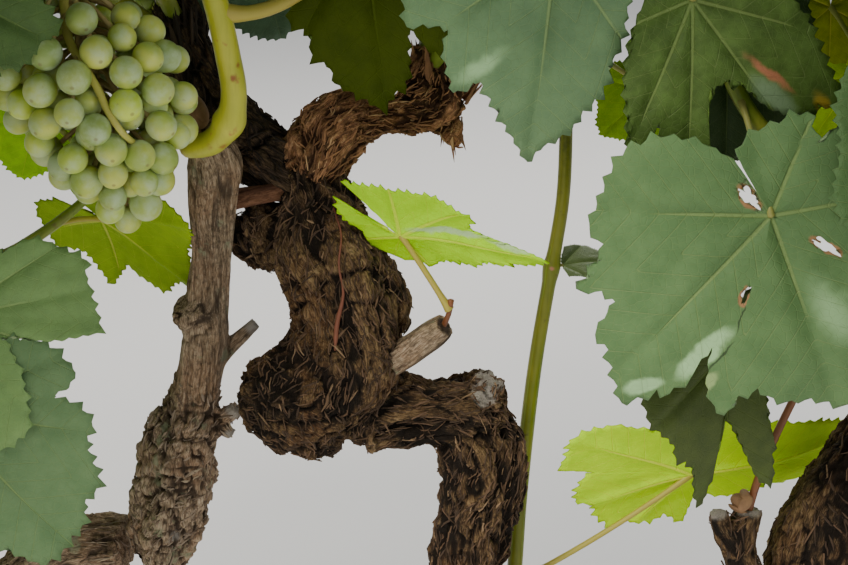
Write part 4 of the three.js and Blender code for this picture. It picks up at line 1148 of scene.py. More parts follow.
def blade_samples(leaf):
    grid = np.array([(i * 0.3, j * 0.3) for i in range(-3, 4) for j in range(-3, 4)])
    angle = np.degrees(np.arctan2(grid[:, 1], grid[:, 0]))
    inside = np.hypot(grid[:, 0], grid[:, 1]) < np.interp(np.abs(angle), OUTLINE[:, 0], OUTLINE[:, 1]) + 0.05
    return blade_point(leaf, grid[inside, 0], grid[inside, 1])


def bunch_width(share):
    """A bunch's half-width at a share of its length, for each unit of its radius."""
    return 0.62 + 1.25 * share - 1.62 * share ** 2


def line_samples(line, step):
    out = []
    for a, b in zip(line[:-1], line[1:]):
        parts = max(1, int(np.linalg.norm(b - a) / step))
        out.extend(a + (b - a) * i / parts for i in range(parts))
    return np.array(out)


for name, lines in LINES.items():
    for line in lines:
        for place, size in zip(line["places"][::3], line["radii"][::3]):
            take(place, size + 4)
for plan in SHOOTS:
    take(line_samples(plan["line"], 14), plan["radius"] + 2)
    for twig in plan["grown"]["twigs"]:
        take(line_samples(twig, 14), 4)
    for leaf in plan["grown"]["leaves"] + plan["placed"]:
        take(blade_samples(leaf), 0.1 * leaf["reach"])
    for bunch in plan["bunches"]:
        for share in np.linspace(0, 1, 7):
            spot = np.array(bunch["neck"], float) - UP * bunch["length"] * share
            spot[:2] += np.array(bunch["lean"]) * share
            take(spot, bunch["radius"] * bunch_width(share) + 6)
ROOM = [np.vstack(room_points), np.concatenate(room_sizes)]


def is_free(points, size, low, high):
    """Whether points keep clear of all that is there, of the window and of the ground, inside a box."""
    outside = (points < low).any() or (points > high).any() or points[:, 2].min() < LOWEST_LEAF
    if outside or in_window(points).any():
        return False
    gaps = ((points[:, None, :] - ROOM[0][None, :, :]) ** 2).sum(2)
    return bool((gaps > (ROOM[1][None, :] + size) ** 2).all())


def add_room(points, size):
    ROOM[0] = np.vstack([ROOM[0], points])
    ROOM[1] = np.concatenate([ROOM[1], np.full(len(points), float(size))])


small_leaves, fine_twigs = [], []


def add_small_leaf(node, heading, side, sizes, gaps, slip, box, draw):
    """Try a small leaf at a node, and keep the first that finds room. The gaps are shares of its size."""
    for _ in range(SMALL_TRIES):
        size = sizes[0] + sizes[1] * draw()
        place = node + heading * slip * draw() if slip else node
        leaf = leaf_on_node(place, heading, side, size, draw)
        blade = blade_samples(leaf)
        if is_free(blade, gaps[0] * size, *box):
            add_room(blade, gaps[1] * size)
            small_leaves.append(leaf)
            return True
    return False


def add_fine_twig(node, heading, box, draw):
    """Try a fine twig at a node, and keep it once it holds a leaf."""
    for _ in range(SMALL_TRIES):
        twig = side_twig(node, heading, 1 if draw() < 0.5 else -1, draw)
        twig = twig[0] + (twig - twig[0]) * (0.6 + 0.35 * draw())
        if not is_free(line_samples(twig, 16)[2:], 3, *box):
            continue
        add_room(line_samples(twig, 16), 2)
        held = [add_small_leaf(twig[at], unit(twig[at] - twig[at - 1]), side, (24, 26), (0.05, 0.06), 0, box,
                               draw)
                for at, side in ((1, 1), (1, -1), (2, 1), (2, -1))]
        if any(held):
            fine_twigs.append(twig)
            return


SMALL_TRIES = 3
FINE_TWIG_SHARE = 0.75
for plan in SHOOTS:
    if not plan["length"]:
        continue
    corners = corners_of(plan["name"])
    box = corners.min(0) - 4, corners.max(0) + 4
    draw = seeded(plan["seed"] + 900)
    nodes = [(plan["line"], k) for k in range(len(plan["guide"]) - 1, len(plan["line"]))]
    for twig in plan["grown"]["twigs"]:
        nodes += [(twig, 1), (twig, 2)]
    for stem, k in nodes:
        heading = unit(stem[k] - stem[k - 1])
        for side in (-1, 1):
            add_small_leaf(stem[k], heading, side, (30, 34), (0.06, 0.07), 4, box, draw)
        if draw() < FINE_TWIG_SHARE:
            add_fine_twig(stem[k], heading, box, draw)


# Leaf finishes
def leaf_finish(name, blade, deep, vein, patches=(), shine=0.22, sheen=0.0, vein_share=0.6):
    """A leaf seen close: pale veins in their own pattern, fine puckers, and patches, some the leaf's own and
    some painted highlight.

    Each patch is its middle on the blade, half its length and width, its turn, colour and strength, and how
    far in it fades.
    """
    f = Finish(name, roughness=0.52, specular_ior_level=shine, sheen_weight=sheen, sheen_roughness=0.4)
    veins = f.node("UVMap", {"uv_map": "veins"}).outputs["UV"]
    blade_uv = f.node("UVMap", {"uv_map": "blade"}).outputs["UV"]
    split = f.node("SeparateXYZ", Vector=veins)
    u, v = split.outputs["X"], split.outputs["Y"]
    width = f.between(u, 0.0, 1.0, 0.0095, 0.003)
    main = f.math("SUBTRACT", 1.0, f.between(f.math("DIVIDE", v, width), 0.6, 1.5))
    slant = f.math("SUBTRACT", u, f.math("MULTIPLY", v, 0.8))
    step = f.math("FRACT", f.math("DIVIDE", slant, 0.125))
    side = f.between(f.math("ABSOLUTE", f.math("SUBTRACT", step, 0.5)), 0.462, 0.495)
    web = f.node("TexVoronoi", {"feature": "DISTANCE_TO_EDGE", "voronoi_dimensions": "2D"}, Vector=blade_uv,
                 Scale=26.0, Randomness=1.0).outputs["Distance"]
    net = f.between(web, 0.0, 0.09, 1.0, 0.0)
    colour = f.mix(f.between(f.noise(blade_uv, 5.5, 5, 0.65), 0.3, 0.7), deep, blade)
    colour = f.mix(f.math("MULTIPLY", net, 0.14), colour, vein)
    colour = f.mix(f.math("MULTIPLY", side, vein_share * 0.6), colour, vein)
    colour = f.mix(f.math("MULTIPLY", main, vein_share), colour, vein)
    if patches:
        cloud = f.node("TexNoise", Vector=blade_uv, Scale=11.0, Detail=3.0).outputs["Color"]
        cloud = f.vector("SUBTRACT", cloud, (0.5, 0.5, 0.5))
        torn = f.vector("ADD", blade_uv, f.times(cloud, 0.07))
    for (x, y), (long, wide), turn, tint, strength, edge in patches:
        local = f.node("Mapping", {"vector_type": "TEXTURE"}, Vector=torn, Location=(x, y, 0),
                       Rotation=(0, 0, math.radians(turn)), Scale=(long, wide, 1)).outputs["Vector"]
        away = f.vector("LENGTH", f.vector("MULTIPLY", local, (1, 1, 0)), output="Value")
        colour = f.mix(f.between(away, edge, 1.05, strength, 0.0), colour, tint)
    f.colour(colour)
    height = f.math("SUBTRACT", f.math("MULTIPLY", f.noise(blade_uv, 16, 3), 0.5),
                    f.math("ADD", f.math("MULTIPLY", main, 1.0), f.math("MULTIPLY", side, 0.6)))
    height = f.math("SUBTRACT", height, f.math("MULTIPLY", net, 0.25))
    f.bump(height, 0.55, 0.0009)
    return f.material


BLUE_GREEN, BLUE_DEEP, BLUE_VEIN = (0.13, 0.235, 0.085), (0.095, 0.185, 0.065), (0.25, 0.34, 0.11)
OLIVE_VEIN = (0.11, 0.16, 0.035)
# Painted light: these bright limes stand for sun shining through the leaves from behind, over their own paler
# green.
BACKLIT_LIME, BACKLIT_LIME_DEEP, BACKLIT_LIME_VEIN = (0.46, 0.86, 0.001), (0.33, 0.68, 0.001), (0.72, 0.84, 0.06)
UNDERSIDES = {
    "blue": leaf_finish("underside_grey_green", (0.25, 0.34, 0.18), (0.2, 0.29, 0.14), (0.36, 0.43, 0.2)),
    "sunlit": leaf_finish("underside_sunlit", (0.64, 1.0, 0.0), (0.52, 0.9, 0.0), (0.86, 0.96, 0.08),
                          shine=0.03,
                          vein_share=0.75),
    "lime": leaf_finish("underside_lime", BACKLIT_LIME, (0.38, 0.74, 0.001), BACKLIT_LIME_VEIN, [
        ((0.3, -0.16), (0.32, 0.035), -18, (0.5, 0.68, 0.36), 0.9, 0.5),
        ((0.74, -0.26), (0.24, 0.03), -14, (0.5, 0.68, 0.36), 0.8, 0.4)], 0.05),
    "dull": leaf_finish("underside_dull_lime", (0.32, 0.5, 0.003), (0.24, 0.4, 0.003), (0.66, 0.7, 0.1),
                        shine=0.05,
                        vein_share=0.75),
    "olive": leaf_finish("underside_olive", (0.12, 0.2, 0.03), (0.08, 0.15, 0.02), (0.2, 0.27, 0.06)),
}


def edge(left, right, own):
    """A leaf's edge: its own corners, between so many of the plain outline's on each side of the stalk."""
    return np.vstack([BOTH_SIDES[:left], own, BOTH_SIDES[len(BOTH_SIDES) - right:]])


# The leaves seen close: pairs of an angle off the tip and a reach
EDGES = {
    "large_right_leaf": edge(0, 0, [
        (-165, 0.1), (-162, 0.31), (-152, 0.48), (-142, 0.63), (-131, 0.73), (-122, 0.75), (-102, 0.82),
        (-96, 0.76), (-91, 0.8), (-83, 0.94), (-81, 0.84), (-76, 0.79), (-70, 0.97), (-66, 0.95),
        (-51, 1.13), (-47, 0.97), (-43, 0.95), (-39, 0.62), (-34, 0.85), (-30, 0.94), (-26, 0.98),
        (-24, 0.87), (-18, 0.82), (-11, 0.9), (-1, 0.92), (7, 1.02), (12, 1.0), (26, 0.79), (32, 0.92),
        (48, 0.9), (63, 0.86), (84, 0.71), (101, 0.59), (115, 0.64), (127, 0.62), (134, 0.39), (149, 0.49),
        (180, 0.39), (194, 0.34), (197, 0.1)]),
    "head_leaf": edge(6, 6, [
        (-102, 0.76), (-80, 0.69), (-68, 0.75), (-56, 0.8), (-55, 0.74), (-47, 0.63), (-41, 0.73),
        (-28, 0.85), (-27, 0.77), (-23, 0.73), (1, 1.1), (3, 1.01), (12, 0.91), (17, 0.81), (24, 0.75),
        (33, 0.61), (39, 0.58), (66, 0.41), (88, 0.54), (102, 0.7)]),
    "blushed_leaf": edge(0, 7, [
        (-174, 0.05), (-160, 0.24), (-124, 0.3), (-110, 0.38), (-91, 0.56), (-76, 0.79), (-72, 0.86),
        (-68, 0.63), (-59, 0.84), (-51, 0.99), (-47, 0.88), (-44, 0.5), (-31, 0.44), (-20, 0.5),
        (-14, 0.72), (-5, 0.86), (1, 0.9), (4, 1.02), (27, 0.63), (45, 0.48), (66, 0.66), (88, 0.72)]),
    "shade_leaf": edge(7, 8, [
        (-80, 0.6), (-57, 0.54), (-46, 0.67), (-39, 0.63), (-35, 0.67), (-32, 0.76), (-25, 0.76),
        (-21, 0.86), (-8, 0.94), (-6, 0.99), (-1, 0.89), (3, 0.87), (7, 0.74), (9, 0.64), (12, 0.59),
        (15, 0.58), (18, 0.73), (23, 0.77), (33, 0.68), (54, 0.84), (66, 0.83)]),
    "left_upper_leaf": edge(6, 7, [
        (-88, 0.74), (-66, 0.87), (-54, 0.84), (-38, 0.58), (-17, 0.36), (-14, 0.62), (-6, 0.93),
        (16, 0.87), (23, 0.9), (39, 0.75), (43, 0.7), (49, 0.51), (66, 0.63)]),
    "left_lower_leaf": edge(6, 4, [
        (-88, 0.74), (-66, 0.87), (-54, 0.91), (-22, 0.77), (-13, 0.99), (-5, 0.98), (0, 0.95), (5, 0.96),
        (11, 0.88), (19, 0.91), (33, 0.76), (42, 0.78), (49, 0.71), (54, 0.57), (58, 0.68), (63, 0.73),
        (75, 0.67), (83, 0.62), (90, 0.54), (95, 0.48), (118, 0.66), (134, 0.72)]),
    "leaf_behind_grapes": edge(8, 3, [
        (-66, 0.87), (-54, 0.93), (-38, 0.83), (-27, 0.76), (-17, 0.81), (0, 0.9), (9, 0.81), (23, 0.86),
        (37, 0.66), (45, 0.57), (61, 0.89), (82, 0.61), (92, 0.62), (101, 0.71), (134, 0.66), (148, 0.59)]),
    "centre_leaf": edge(0, 0, [
        (-146, 0.08), (-141, 0.53), (-84, 0.41), (-71, 0.46), (-53, 0.49), (-44, 0.56), (-38, 0.56),
        (-31, 0.48), (-25, 0.55), (-16, 0.97), (-14, 0.98), (-12, 0.9), (-9, 0.75), (-6, 0.72), (-2, 0.56),
        (9, 0.5), (12, 0.42), (27, 0.32), (45, 0.31), (57, 0.26), (81, 0.26), (136, 0.28), (152, 0.25),
        (167, 0.27), (176, 0.34), (189, 0.43), (201, 0.46), (207, 0.08)]),
    "low_lime_leaf": edge(0, 0, [
        (7, 0.63), (9, 0.87), (12, 0.88), (21, 0.88), (27, 0.95), (42, 0.78), (53, 0.54), (87, 0.57),
        (92, 0.62), (119, 0.61), (130, 0.62), (145, 0.78), (161, 0.98), (173, 1.0), (180, 0.82),
        (189, 0.81), (192, 0.55), (217, 0.39), (231, 0.31), (251, 0.2), (265, 0.53), (281, 0.45),
        (287, 0.54), (306, 0.56), (311, 0.64), (323, 0.66), (338, 0.63), (342, 0.73), (353, 0.71),
        (362, 0.69), (367, 0.63)]),
    "hanging_leaf": edge(5, 8, [
        (-118, 0.78), (-102, 0.72), (-59, 0.72), (-37, 0.71), (-29, 0.82), (-23, 0.8), (-17, 0.86),
        (-11, 1.1), (-8, 1.15), (-7, 1.0), (-9, 0.7), (-9, 0.5), (-2, 0.45), (8, 0.7), (13, 1.0),
        (17, 1.13), (19, 1.08), (24, 0.75), (34, 0.4), (54, 0.62), (66, 0.72)]),
    "leaf_over_grapes": edge(8, 8, [
        (-66, 0.85), (-54, 0.84), (-38, 0.68), (-25, 0.59), (-20, 0.67), (9, 0.74), (20, 0.57), (54, 0.86),
        (66, 0.87)]),
    "small_grey_leaf": edge(0, 0, [
        (-100, 0.1), (-84, 0.32), (-45, 0.55), (-18, 0.8), (0, 1.0), (14, 0.88), (38, 0.7), (70, 0.5),
        (96, 0.1)]),
}
VEINS = {"small_grey_leaf": (-48, 0, 42), "large_right_leaf": (-108, -58, 5, 85, 145),
         "head_leaf": (-112, -49, 1, 42, 112),
         "blushed_leaf": (-120, -75, -52, -14, 24, 75), "left_upper_leaf": (-110, -50, -16, 11, 33, 75, 125),
         "left_lower_leaf": (-110, -54, -3, 38, 72, 120), "centre_leaf": (-153, -103, -47, -16, 47, 152),
         "low_lime_leaf": (-61, -22, 27, 92, 168), "shade_leaf": (-115, -40, -4, 32, 110)}
# The pale green is painted highlight: sun and sky caught on a leaf's shine. The dry brown is the leaf's own.
PAINTED_HIGHLIGHT_GREEN, DRY = (0.38, 0.6, 0.3), (0.4, 0.2, 0.09)


def look_of(under, wave, fold, name, blade, deep, vein, patches=(), shine=0.22, sheen=0.0, holes=()):
    """How a close leaf looks: its finishes, its waves, its fold and its holes."""
    return leaf_finish(name, blade, deep, vein, patches, shine, sheen), UNDERSIDES[under], wave, fold, holes


# Holes in a leaf: middle, half-length, half-width and turn
HOLES = [((-0.115, -0.075), 0.062, 0.026, 27), ((0.2, 0.2), 0.07, 0.021, 42),
         ((0.32, -0.2), 0.042, 0.015, -37)]
# Marks on the large leaf: pale patches of painted highlight, thin dark lines, and dry brown rims round its
# holes.
LARGE_MARKS_AND_HIGHLIGHTS = [
    ((0.545, -0.45), (0.2, 0.06), 121, PAINTED_HIGHLIGHT_GREEN, 0.95, 0.6),
                 ((0.63, -0.76), (0.11, 0.05), 90, PAINTED_HIGHLIGHT_GREEN, 0.9, 0.6),
    ((0.69, -0.46), (0.08, 0.04), 120, (0.34, 0.46, 0.18), 0.8, 0.5),
    ((0.52, 0.17), (0.26, 0.11), 20, PAINTED_HIGHLIGHT_GREEN, 0.75, 0.1),
    ((0.42, -0.25), (0.1, 0.006), -31, (0.03, 0.045, 0.02), 0.8, 0.5),
    ((0.58, -0.385), (0.11, 0.007), -56, (0.03, 0.045, 0.02), 0.8, 0.5)]
LARGE_MARKS_AND_HIGHLIGHTS += [(place, (long * 1.35, wide * 1.55), turn, DRY, 0.9, 0.78) for place, long, wide,
                  turn in HOLES]
BLUSH_PATCHES = [
    ((0.66, -0.12), (0.2, 0.07), 0, (0.17, 0.25, 0.14), 0.85, 0.4),
    ((0.56, -0.045), (0.2, 0.034), 2, (0.46, 0.16, 0.09), 0.85, 0.3),
    ((0.93, 0.0), (0.14, 0.05), -20, (0.4, 0.27, 0.03), 0.9, 0.4),
    ((1.0, -0.09), (0.09, 0.05), 0, (0.5, 0.42, 0.03), 0.9, 0.4)]
# A pale patch of painted highlight on the head leaf.
HEAD_PAINTED_HIGHLIGHT = [((0.6, -0.28), (0.17, 0.06), 130, PAINTED_HIGHLIGHT_GREEN, 0.8, 0.15)]
# Each close leaf: its underside, how much it waves and folds, its finish's name, and the colours of its blade
LOOKS = {
    "large_right_leaf": look_of("blue", 0.04, 0.03, "large_blue_green_blade", BLUE_GREEN, BLUE_DEEP,
                                BLUE_VEIN,
                                LARGE_MARKS_AND_HIGHLIGHTS, sheen=0.08, holes=HOLES),
    "blushed_leaf": look_of("olive", 0.05, 0.06, "blushed_olive_blade", (0.096, 0.165, 0.034),
                            (0.046, 0.084, 0.013),
                            (0.2, 0.27, 0.08), BLUSH_PATCHES),
    "head_leaf": look_of("blue", 0.04, 0.04, "head_blue_green_blade", (0.155, 0.265, 0.12),
                         (0.12, 0.215, 0.1),
                         (0.3, 0.41, 0.15), HEAD_PAINTED_HIGHLIGHT, sheen=0.08),
    "shade_leaf": look_of("olive", 0.04, 0.05, "shade_olive_blade", (0.058, 0.083, 0.005),
                          (0.043, 0.064, 0.004),
                          (0.085, 0.12, 0.012), shine=0.06),
    "shade_leaf_behind": look_of("olive", 0.05, 0.0, "shade_green_blade", (0.09, 0.17, 0.09),
                                 (0.065, 0.13, 0.065),
                                 (0.15, 0.23, 0.1)),
    # Painted shade: a leaf in the shadow of the leaves in front, given a dark blade.
    "dark_leaf_behind": look_of("olive", 0.05, 0.05, "shaded_dark_green_blade", (0.05, 0.085, 0.03),
                                (0.035, 0.065, 0.022),
                                (0.12, 0.17, 0.05)),
    "leaf_over_grapes": look_of("olive", 0.05, 0.05, "grape_leaf_blade", (0.085, 0.155, 0.04),
                                (0.062, 0.115, 0.03),
                                (0.16, 0.24, 0.07)),
    "left_upper_leaf": look_of("blue", 0.03, 0.03, "left_upper_blade", (0.2, 0.33, 0.105),
                               (0.16, 0.27, 0.088),
                               (0.32, 0.44, 0.15)),
    "left_lower_leaf": look_of("blue", 0.03, 0.04, "left_lower_blade", (0.145, 0.24, 0.1), (0.11, 0.2, 0.08),
                               BLUE_VEIN),
    "leaf_behind_grapes": look_of("dull", 0.05, 0.0, "behind_grapes_blade", (0.24, 0.33, 0.006),
                                  (0.17, 0.26, 0.004), (0.5, 0.52, 0.1), shine=0.05),
    # Painted light: these two lime blades stand for sun shining through them from behind.
    "lime_leaf_behind_grapes": look_of("lime", 0.05, 0.0, "sunlit_lime_blade", BACKLIT_LIME, BACKLIT_LIME_DEEP, BACKLIT_LIME_VEIN,
                                       shine=0.05),
    "centre_leaf": look_of("lime", 0.04, 0.0, "centre_lime_blade", BACKLIT_LIME, BACKLIT_LIME_DEEP, BACKLIT_LIME_VEIN, shine=0.05),
    # Painted light: the low lime leaf's bright blade stands for sun shining through it from behind.
    "low_lime_leaf": look_of("sunlit", 0.04, 0.0, "low_lime_blade", (0.55, 0.85, 0.002), (0.44, 0.74, 0.002),
                             (0.75, 0.85, 0.06), shine=0.03),
    "lime_strip_leaf": look_of("lime", 0.05, 0.0, "lime_strip_blade", (0.3, 0.5, 0.005), (0.2, 0.38, 0.004),
                               BACKLIT_LIME_VEIN, shine=0.05),
    "right_lime_leaf": look_of("lime", 0.05, 0.0, "right_lime_blade", (0.42, 0.66, 0.004), (0.32, 0.5, 0.004),
                               BACKLIT_LIME_VEIN, shine=0.05),
    "golden_leaf": look_of("olive", 0.05, 0.0, "golden_olive_blade", (0.3, 0.34, 0.01), (0.2, 0.25, 0.008),
                           (0.6, 0.52, 0.1), shine=0.05),
    "small_grey_leaf": look_of("blue", 0.04, 0, "small_grey_blade", (0.17, 0.23, 0.09), (0.13, 0.19, 0.07),
                               BLUE_VEIN),
    "far_right_leaf": look_of("blue", 0.05, 0.04, "far_right_blade", BLUE_GREEN, BLUE_DEEP, BLUE_VEIN),
    "hanging_leaf": look_of("olive", 0.04, 0.1, "hanging_olive_blade", (0.075, 0.105, 0.02),
                            (0.05, 0.075, 0.014),
                            OLIVE_VEIN),
}
# Points round a close leaf, and its rings: more where it has holes
CLOSE_POINTS, CLOSE_RINGS, HOLED_RINGS = 217, 15, 60
LEAF_THICKNESS = 0.6
TEETH, TOOTH = (0.0, 1.0, 0.3), 0.03
STALK_SAG = {"shade_leaf": -0.34, "head_leaf": 0.2, "low_lime_leaf": -0.05, "centre_leaf": 0.02}
STALK_SIZE = {"shade_leaf": 2.4, "centre_leaf": 1.1, "low_lime_leaf": 1.1}
GOLD_STALKS = ("shade_leaf", "centre_leaf", "low_lime_leaf", "leaf_behind_grapes")

petioles = Shape()


def thicken(piece, finishes):
    """Give blades their thickness, with the undersides' finishes after so many others."""
    apply_modifier(piece, "SOLIDIFY", thickness=LEAF_THICKNESS * MM, offset=-1, material_offset=finishes,
                   use_rim=True)
    return finish_piece(piece)


def add_stalk(leaf, sag, count, shares, radii, sides, kind=0):
    petioles.add(*tube(stalk_places(leaf, sag, count), np.interp(np.linspace(0, 1, count), shares, radii),
                       sides), kind)


for plan in SHOOTS:
    for number, leaf in enumerate(plan["placed"]):
        look = leaf["look"]
        blade_finish, under, wave, fold, holes = LOOKS[look]
        form = Shape()
        draw = seeded(plan["seed"] * 10 + number)
        points, faces, extra = blade_surface(
            leaf, CLOSE_POINTS, HOLED_RINGS if holes else CLOSE_RINGS, draw, TOOTH, TEETH,
            EDGES.get(look, BOTH_SIDES), VEINS.get(look, VEIN_ANGLES), wave, fold, holes=holes)
        form.add(points, faces, 0, extra)
        thicken(form.piece(look, [blade_finish, under]), 1)
        long = np.linalg.norm(leaf["end"] - leaf["start"])
        size = STALK_SIZE.get(look, 1.0) * min(1, long / 30 + 0.4)
        radii = np.array([2.3, 1.8, 1.45, 1.3, 1.7]) * size
        add_stalk(leaf, STALK_SAG.get(look, 0.08), 16, [0, 0.08, 0.2, 0.85, 1], radii, 10,
                  int(look in GOLD_STALKS))


# The crown's leaves
CROWN_TONES = [("crown_blue_green", (0.12, 0.215, 0.09), (0.09, 0.175, 0.075)),
               ("crown_green", (0.11, 0.205, 0.05), (0.08, 0.165, 0.038)),
               ("crown_dark_olive", (0.06, 0.105, 0.025), (0.042, 0.08, 0.018)),
               ("crown_lime", (0.3, 0.45, 0.02), (0.22, 0.36, 0.015))]
# Up to which share of the leaves each tone goes, and where the crown's left half ends
CROWN_SHARES = [0.42, 0.72, 0.88, 1.0]
YOUNG_SHARES = [0.2, 0.55, 0.65, 1.0]
PARTING = 60


def crown_finish(name, colour, second):
    return plain_finish(name, colour, second, 12, 0.55, specular_ior_level=0.3)


def paler(colour, pale):
    return tuple(0.55 * x + 0.45 * y for x, y in zip(colour, pale))


CROWN_FINISHES = [crown_finish(name, first, second) for name, first, second in CROWN_TONES]
CROWN_FINISHES += [crown_finish(name + "_under", paler(first, (0.3, 0.4, 0.2)),
                                paler(second, (0.26, 0.35, 0.17)))
                   for name, first, second in CROWN_TONES]


def tone_for(draw, shares):
    pick = draw()
    return next(i for i, share in enumerate(shares) if pick <= share)


def own_corners(draw):
    """The plain outline with lobes a little longer or shorter than the next leaf's."""
    lobes = [0.92 + 0.16 * draw() for _ in VEIN_ANGLES]
    reach = np.interp(BOTH_SIDES[:, 0], VEIN_ANGLES, lobes)
    return BOTH_SIDES * np.column_stack([np.ones(len(BOTH_SIDES)), reach])


def leaves_piece(name, leaves, seed, count, rings, shares):
    draw = seeded(seed)
    form = Shape()
    for leaf in leaves:
        points, faces, extra = blade_surface(
            leaf, count, rings, draw, 0.05, (0.0, 1.0, 0.35), own_corners(draw), wave=0.07,
            fold=0.16 * draw() - 0.02, crease=0.03)
        form.add(points, faces, tone_for(draw, shares), extra)
    thicken(form.piece(name, CROWN_FINISHES), len(CROWN_TONES))


grown_leaves = [leaf for plan in SHOOTS for leaf in plan["grown"]["leaves"]]
for kind, leaves, seed, count, rings, shares in (("crown", grown_leaves, 41, 61, 4, CROWN_SHARES),
                                                 ("young", small_leaves, 43, 37, 3, YOUNG_SHARES)):
    left = [leaf for leaf in leaves if leaf["end"][0] < PARTING]
    right = [leaf for leaf in leaves if leaf["end"][0] >= PARTING]
    leaves_piece(kind + "_leaves_left", left, seed, count, rings, shares)
    leaves_piece(kind + "_leaves_right", right, seed + 1, count, rings, shares)
for leaf in grown_leaves:
    add_stalk(leaf, 0.1, 7, [0, 0.15, 0.85, 1], [1.9, 1.3, 1.1, 1.4], 5)
for leaf in small_leaves:
    add_stalk(leaf, 0.1, 5, [0, 0.2, 1], [1.2, 0.8, 0.9], 4)
STALK_GREEN = plain_finish("leaf_stalk_green", (0.27, 0.33, 0.07), (0.34, 0.27, 0.08), 35, 0.55)
STALK_GOLD = plain_finish("leaf_stalk_gold", (0.46, 0.42, 0.05), (0.42, 0.3, 0.06), 30, 0.5)
finish_piece(petioles.piece("leaf_stalks", [STALK_GREEN, STALK_GOLD]))


# Shoots
def cane_places(line, radius, tip_radius, step=5.0, nodes=None):
    """A shoot's line and thickness, close set, swollen at each of its nodes."""
    count = max(6, int(np.linalg.norm(np.diff(line, axis=0), axis=1).sum() / step))
    shares = np.linspace(0, 1, count + 1)
    places = np.array([curve_at(line, s) for s in shares])
    run = np.concatenate([[0], np.cumsum(np.linalg.norm(np.diff(places, axis=0), axis=1))])
    nodes = np.arange(len(line)) if nodes is None else np.asarray(nodes)
    joints = np.interp(nodes / (len(line) - 1), shares, run)
    radii = radius + (tip_radius - radius) * run / run[-1]
    gap = np.abs(run[:, None] - joints[None, :]).min(1)
    return places, radii * (1 + 0.3 * np.exp(-(gap / 5.5) ** 2))


def cane_finish(name, colour, second, stain, marks=()):
    """A smooth shoot with fine lengthwise lines, a few stains, and marks: a middle, a size and a colour."""
    f = Finish(name, roughness=0.42, specular_ior_level=0.35)
    place = f.object_place()
    base = f.mix(f.between(f.noise(place, 26, 3), 0.35, 0.65), colour, second)
    lines = f.noise(f.scaled(place, (1, 1, 0.08)), 420, 3)
    base = f.mix(f.between(lines, 0.45, 0.7, 0.0, 0.35), base, tuple(0.6 * c for c in colour))
    spots = f.between(f.noise(place, 120, 3, 0.6), 0.62, 0.74)
    base = f.mix(f.math("MULTIPLY", spots, 0.7), base, stain)
    for spot, size, tint in marks:
        away = f.vector("DISTANCE", place, tuple(c * MM for c in spot), "Value")
        away = f.math("ADD", away, f.math("MULTIPLY", f.noise(place, 260, 3, 0.7), size * MM * 1.3))
        base = f.mix(f.between(away, size * MM * 0.9, size * MM * 1.7, 0.9, 0.0), base, tint)
    f.colour(base)
    f.bump(f.noise(f.scaled(place, (1, 1, 0.12)), 600, 2), 0.3, 0.0004)
    return f.material


STAIN = (0.26, 0.035, 0.02)
YELLOW_CANE = cane_finish("yellow_green_shoot", (0.6, 0.57, 0.06), (0.44, 0.45, 0.04), (0.42, 0.12, 0.05), [
    ((-98, -42, 581), 3.4, STAIN), ((-92, -45, 579), 3.6, STAIN), ((-86, -52, 614), 2.6, STAIN),
    ((-83, -52, 620), 2.2, STAIN),
    ((-110, -31, 577), 7.0, (0.42, 0.26, 0.09))])
BROWN_CANE = cane_finish("brown_spur_shoot", (0.24, 0.085, 0.03), (0.17, 0.06, 0.022), (0.08, 0.03, 0.015))
UPRIGHT_CANE = cane_finish("upright_shoot", (0.19, 0.21, 0.017), (0.27, 0.27, 0.025), (0.12, 0.07, 0.03), [
    ((69, 46, 600), 60, (0.09, 0.1, 0.011)), ((67, 41, 494), 1.8, (0.5, 0.2, 0.14))])
GREEN_CANE = cane_finish("green_shoot", (0.22, 0.3, 0.035), (0.3, 0.3, 0.04), (0.2, 0.1, 0.04))
# Nodes on a shoot's lower part, as places in its line
EARLY_NODES = {"foliage_upright": [7], "foliage_left_stem": [3], "foliage_right_front": [2]}
# Shoots that are slimmer at their foot: the share of their thickness there, and the place where it ends
SLIM = {"foliage_right_spur": (0.55, 5), "foliage_left_low": (0.66, 4), "foliage_centre_spur": (0.6, 3),
        "foliage_left_stem": (0.86, 2)}


def shoots_named(side, other):
    return [plan["name"] for plan in SHOOTS if side in plan["name"] and plan["name"] != other]


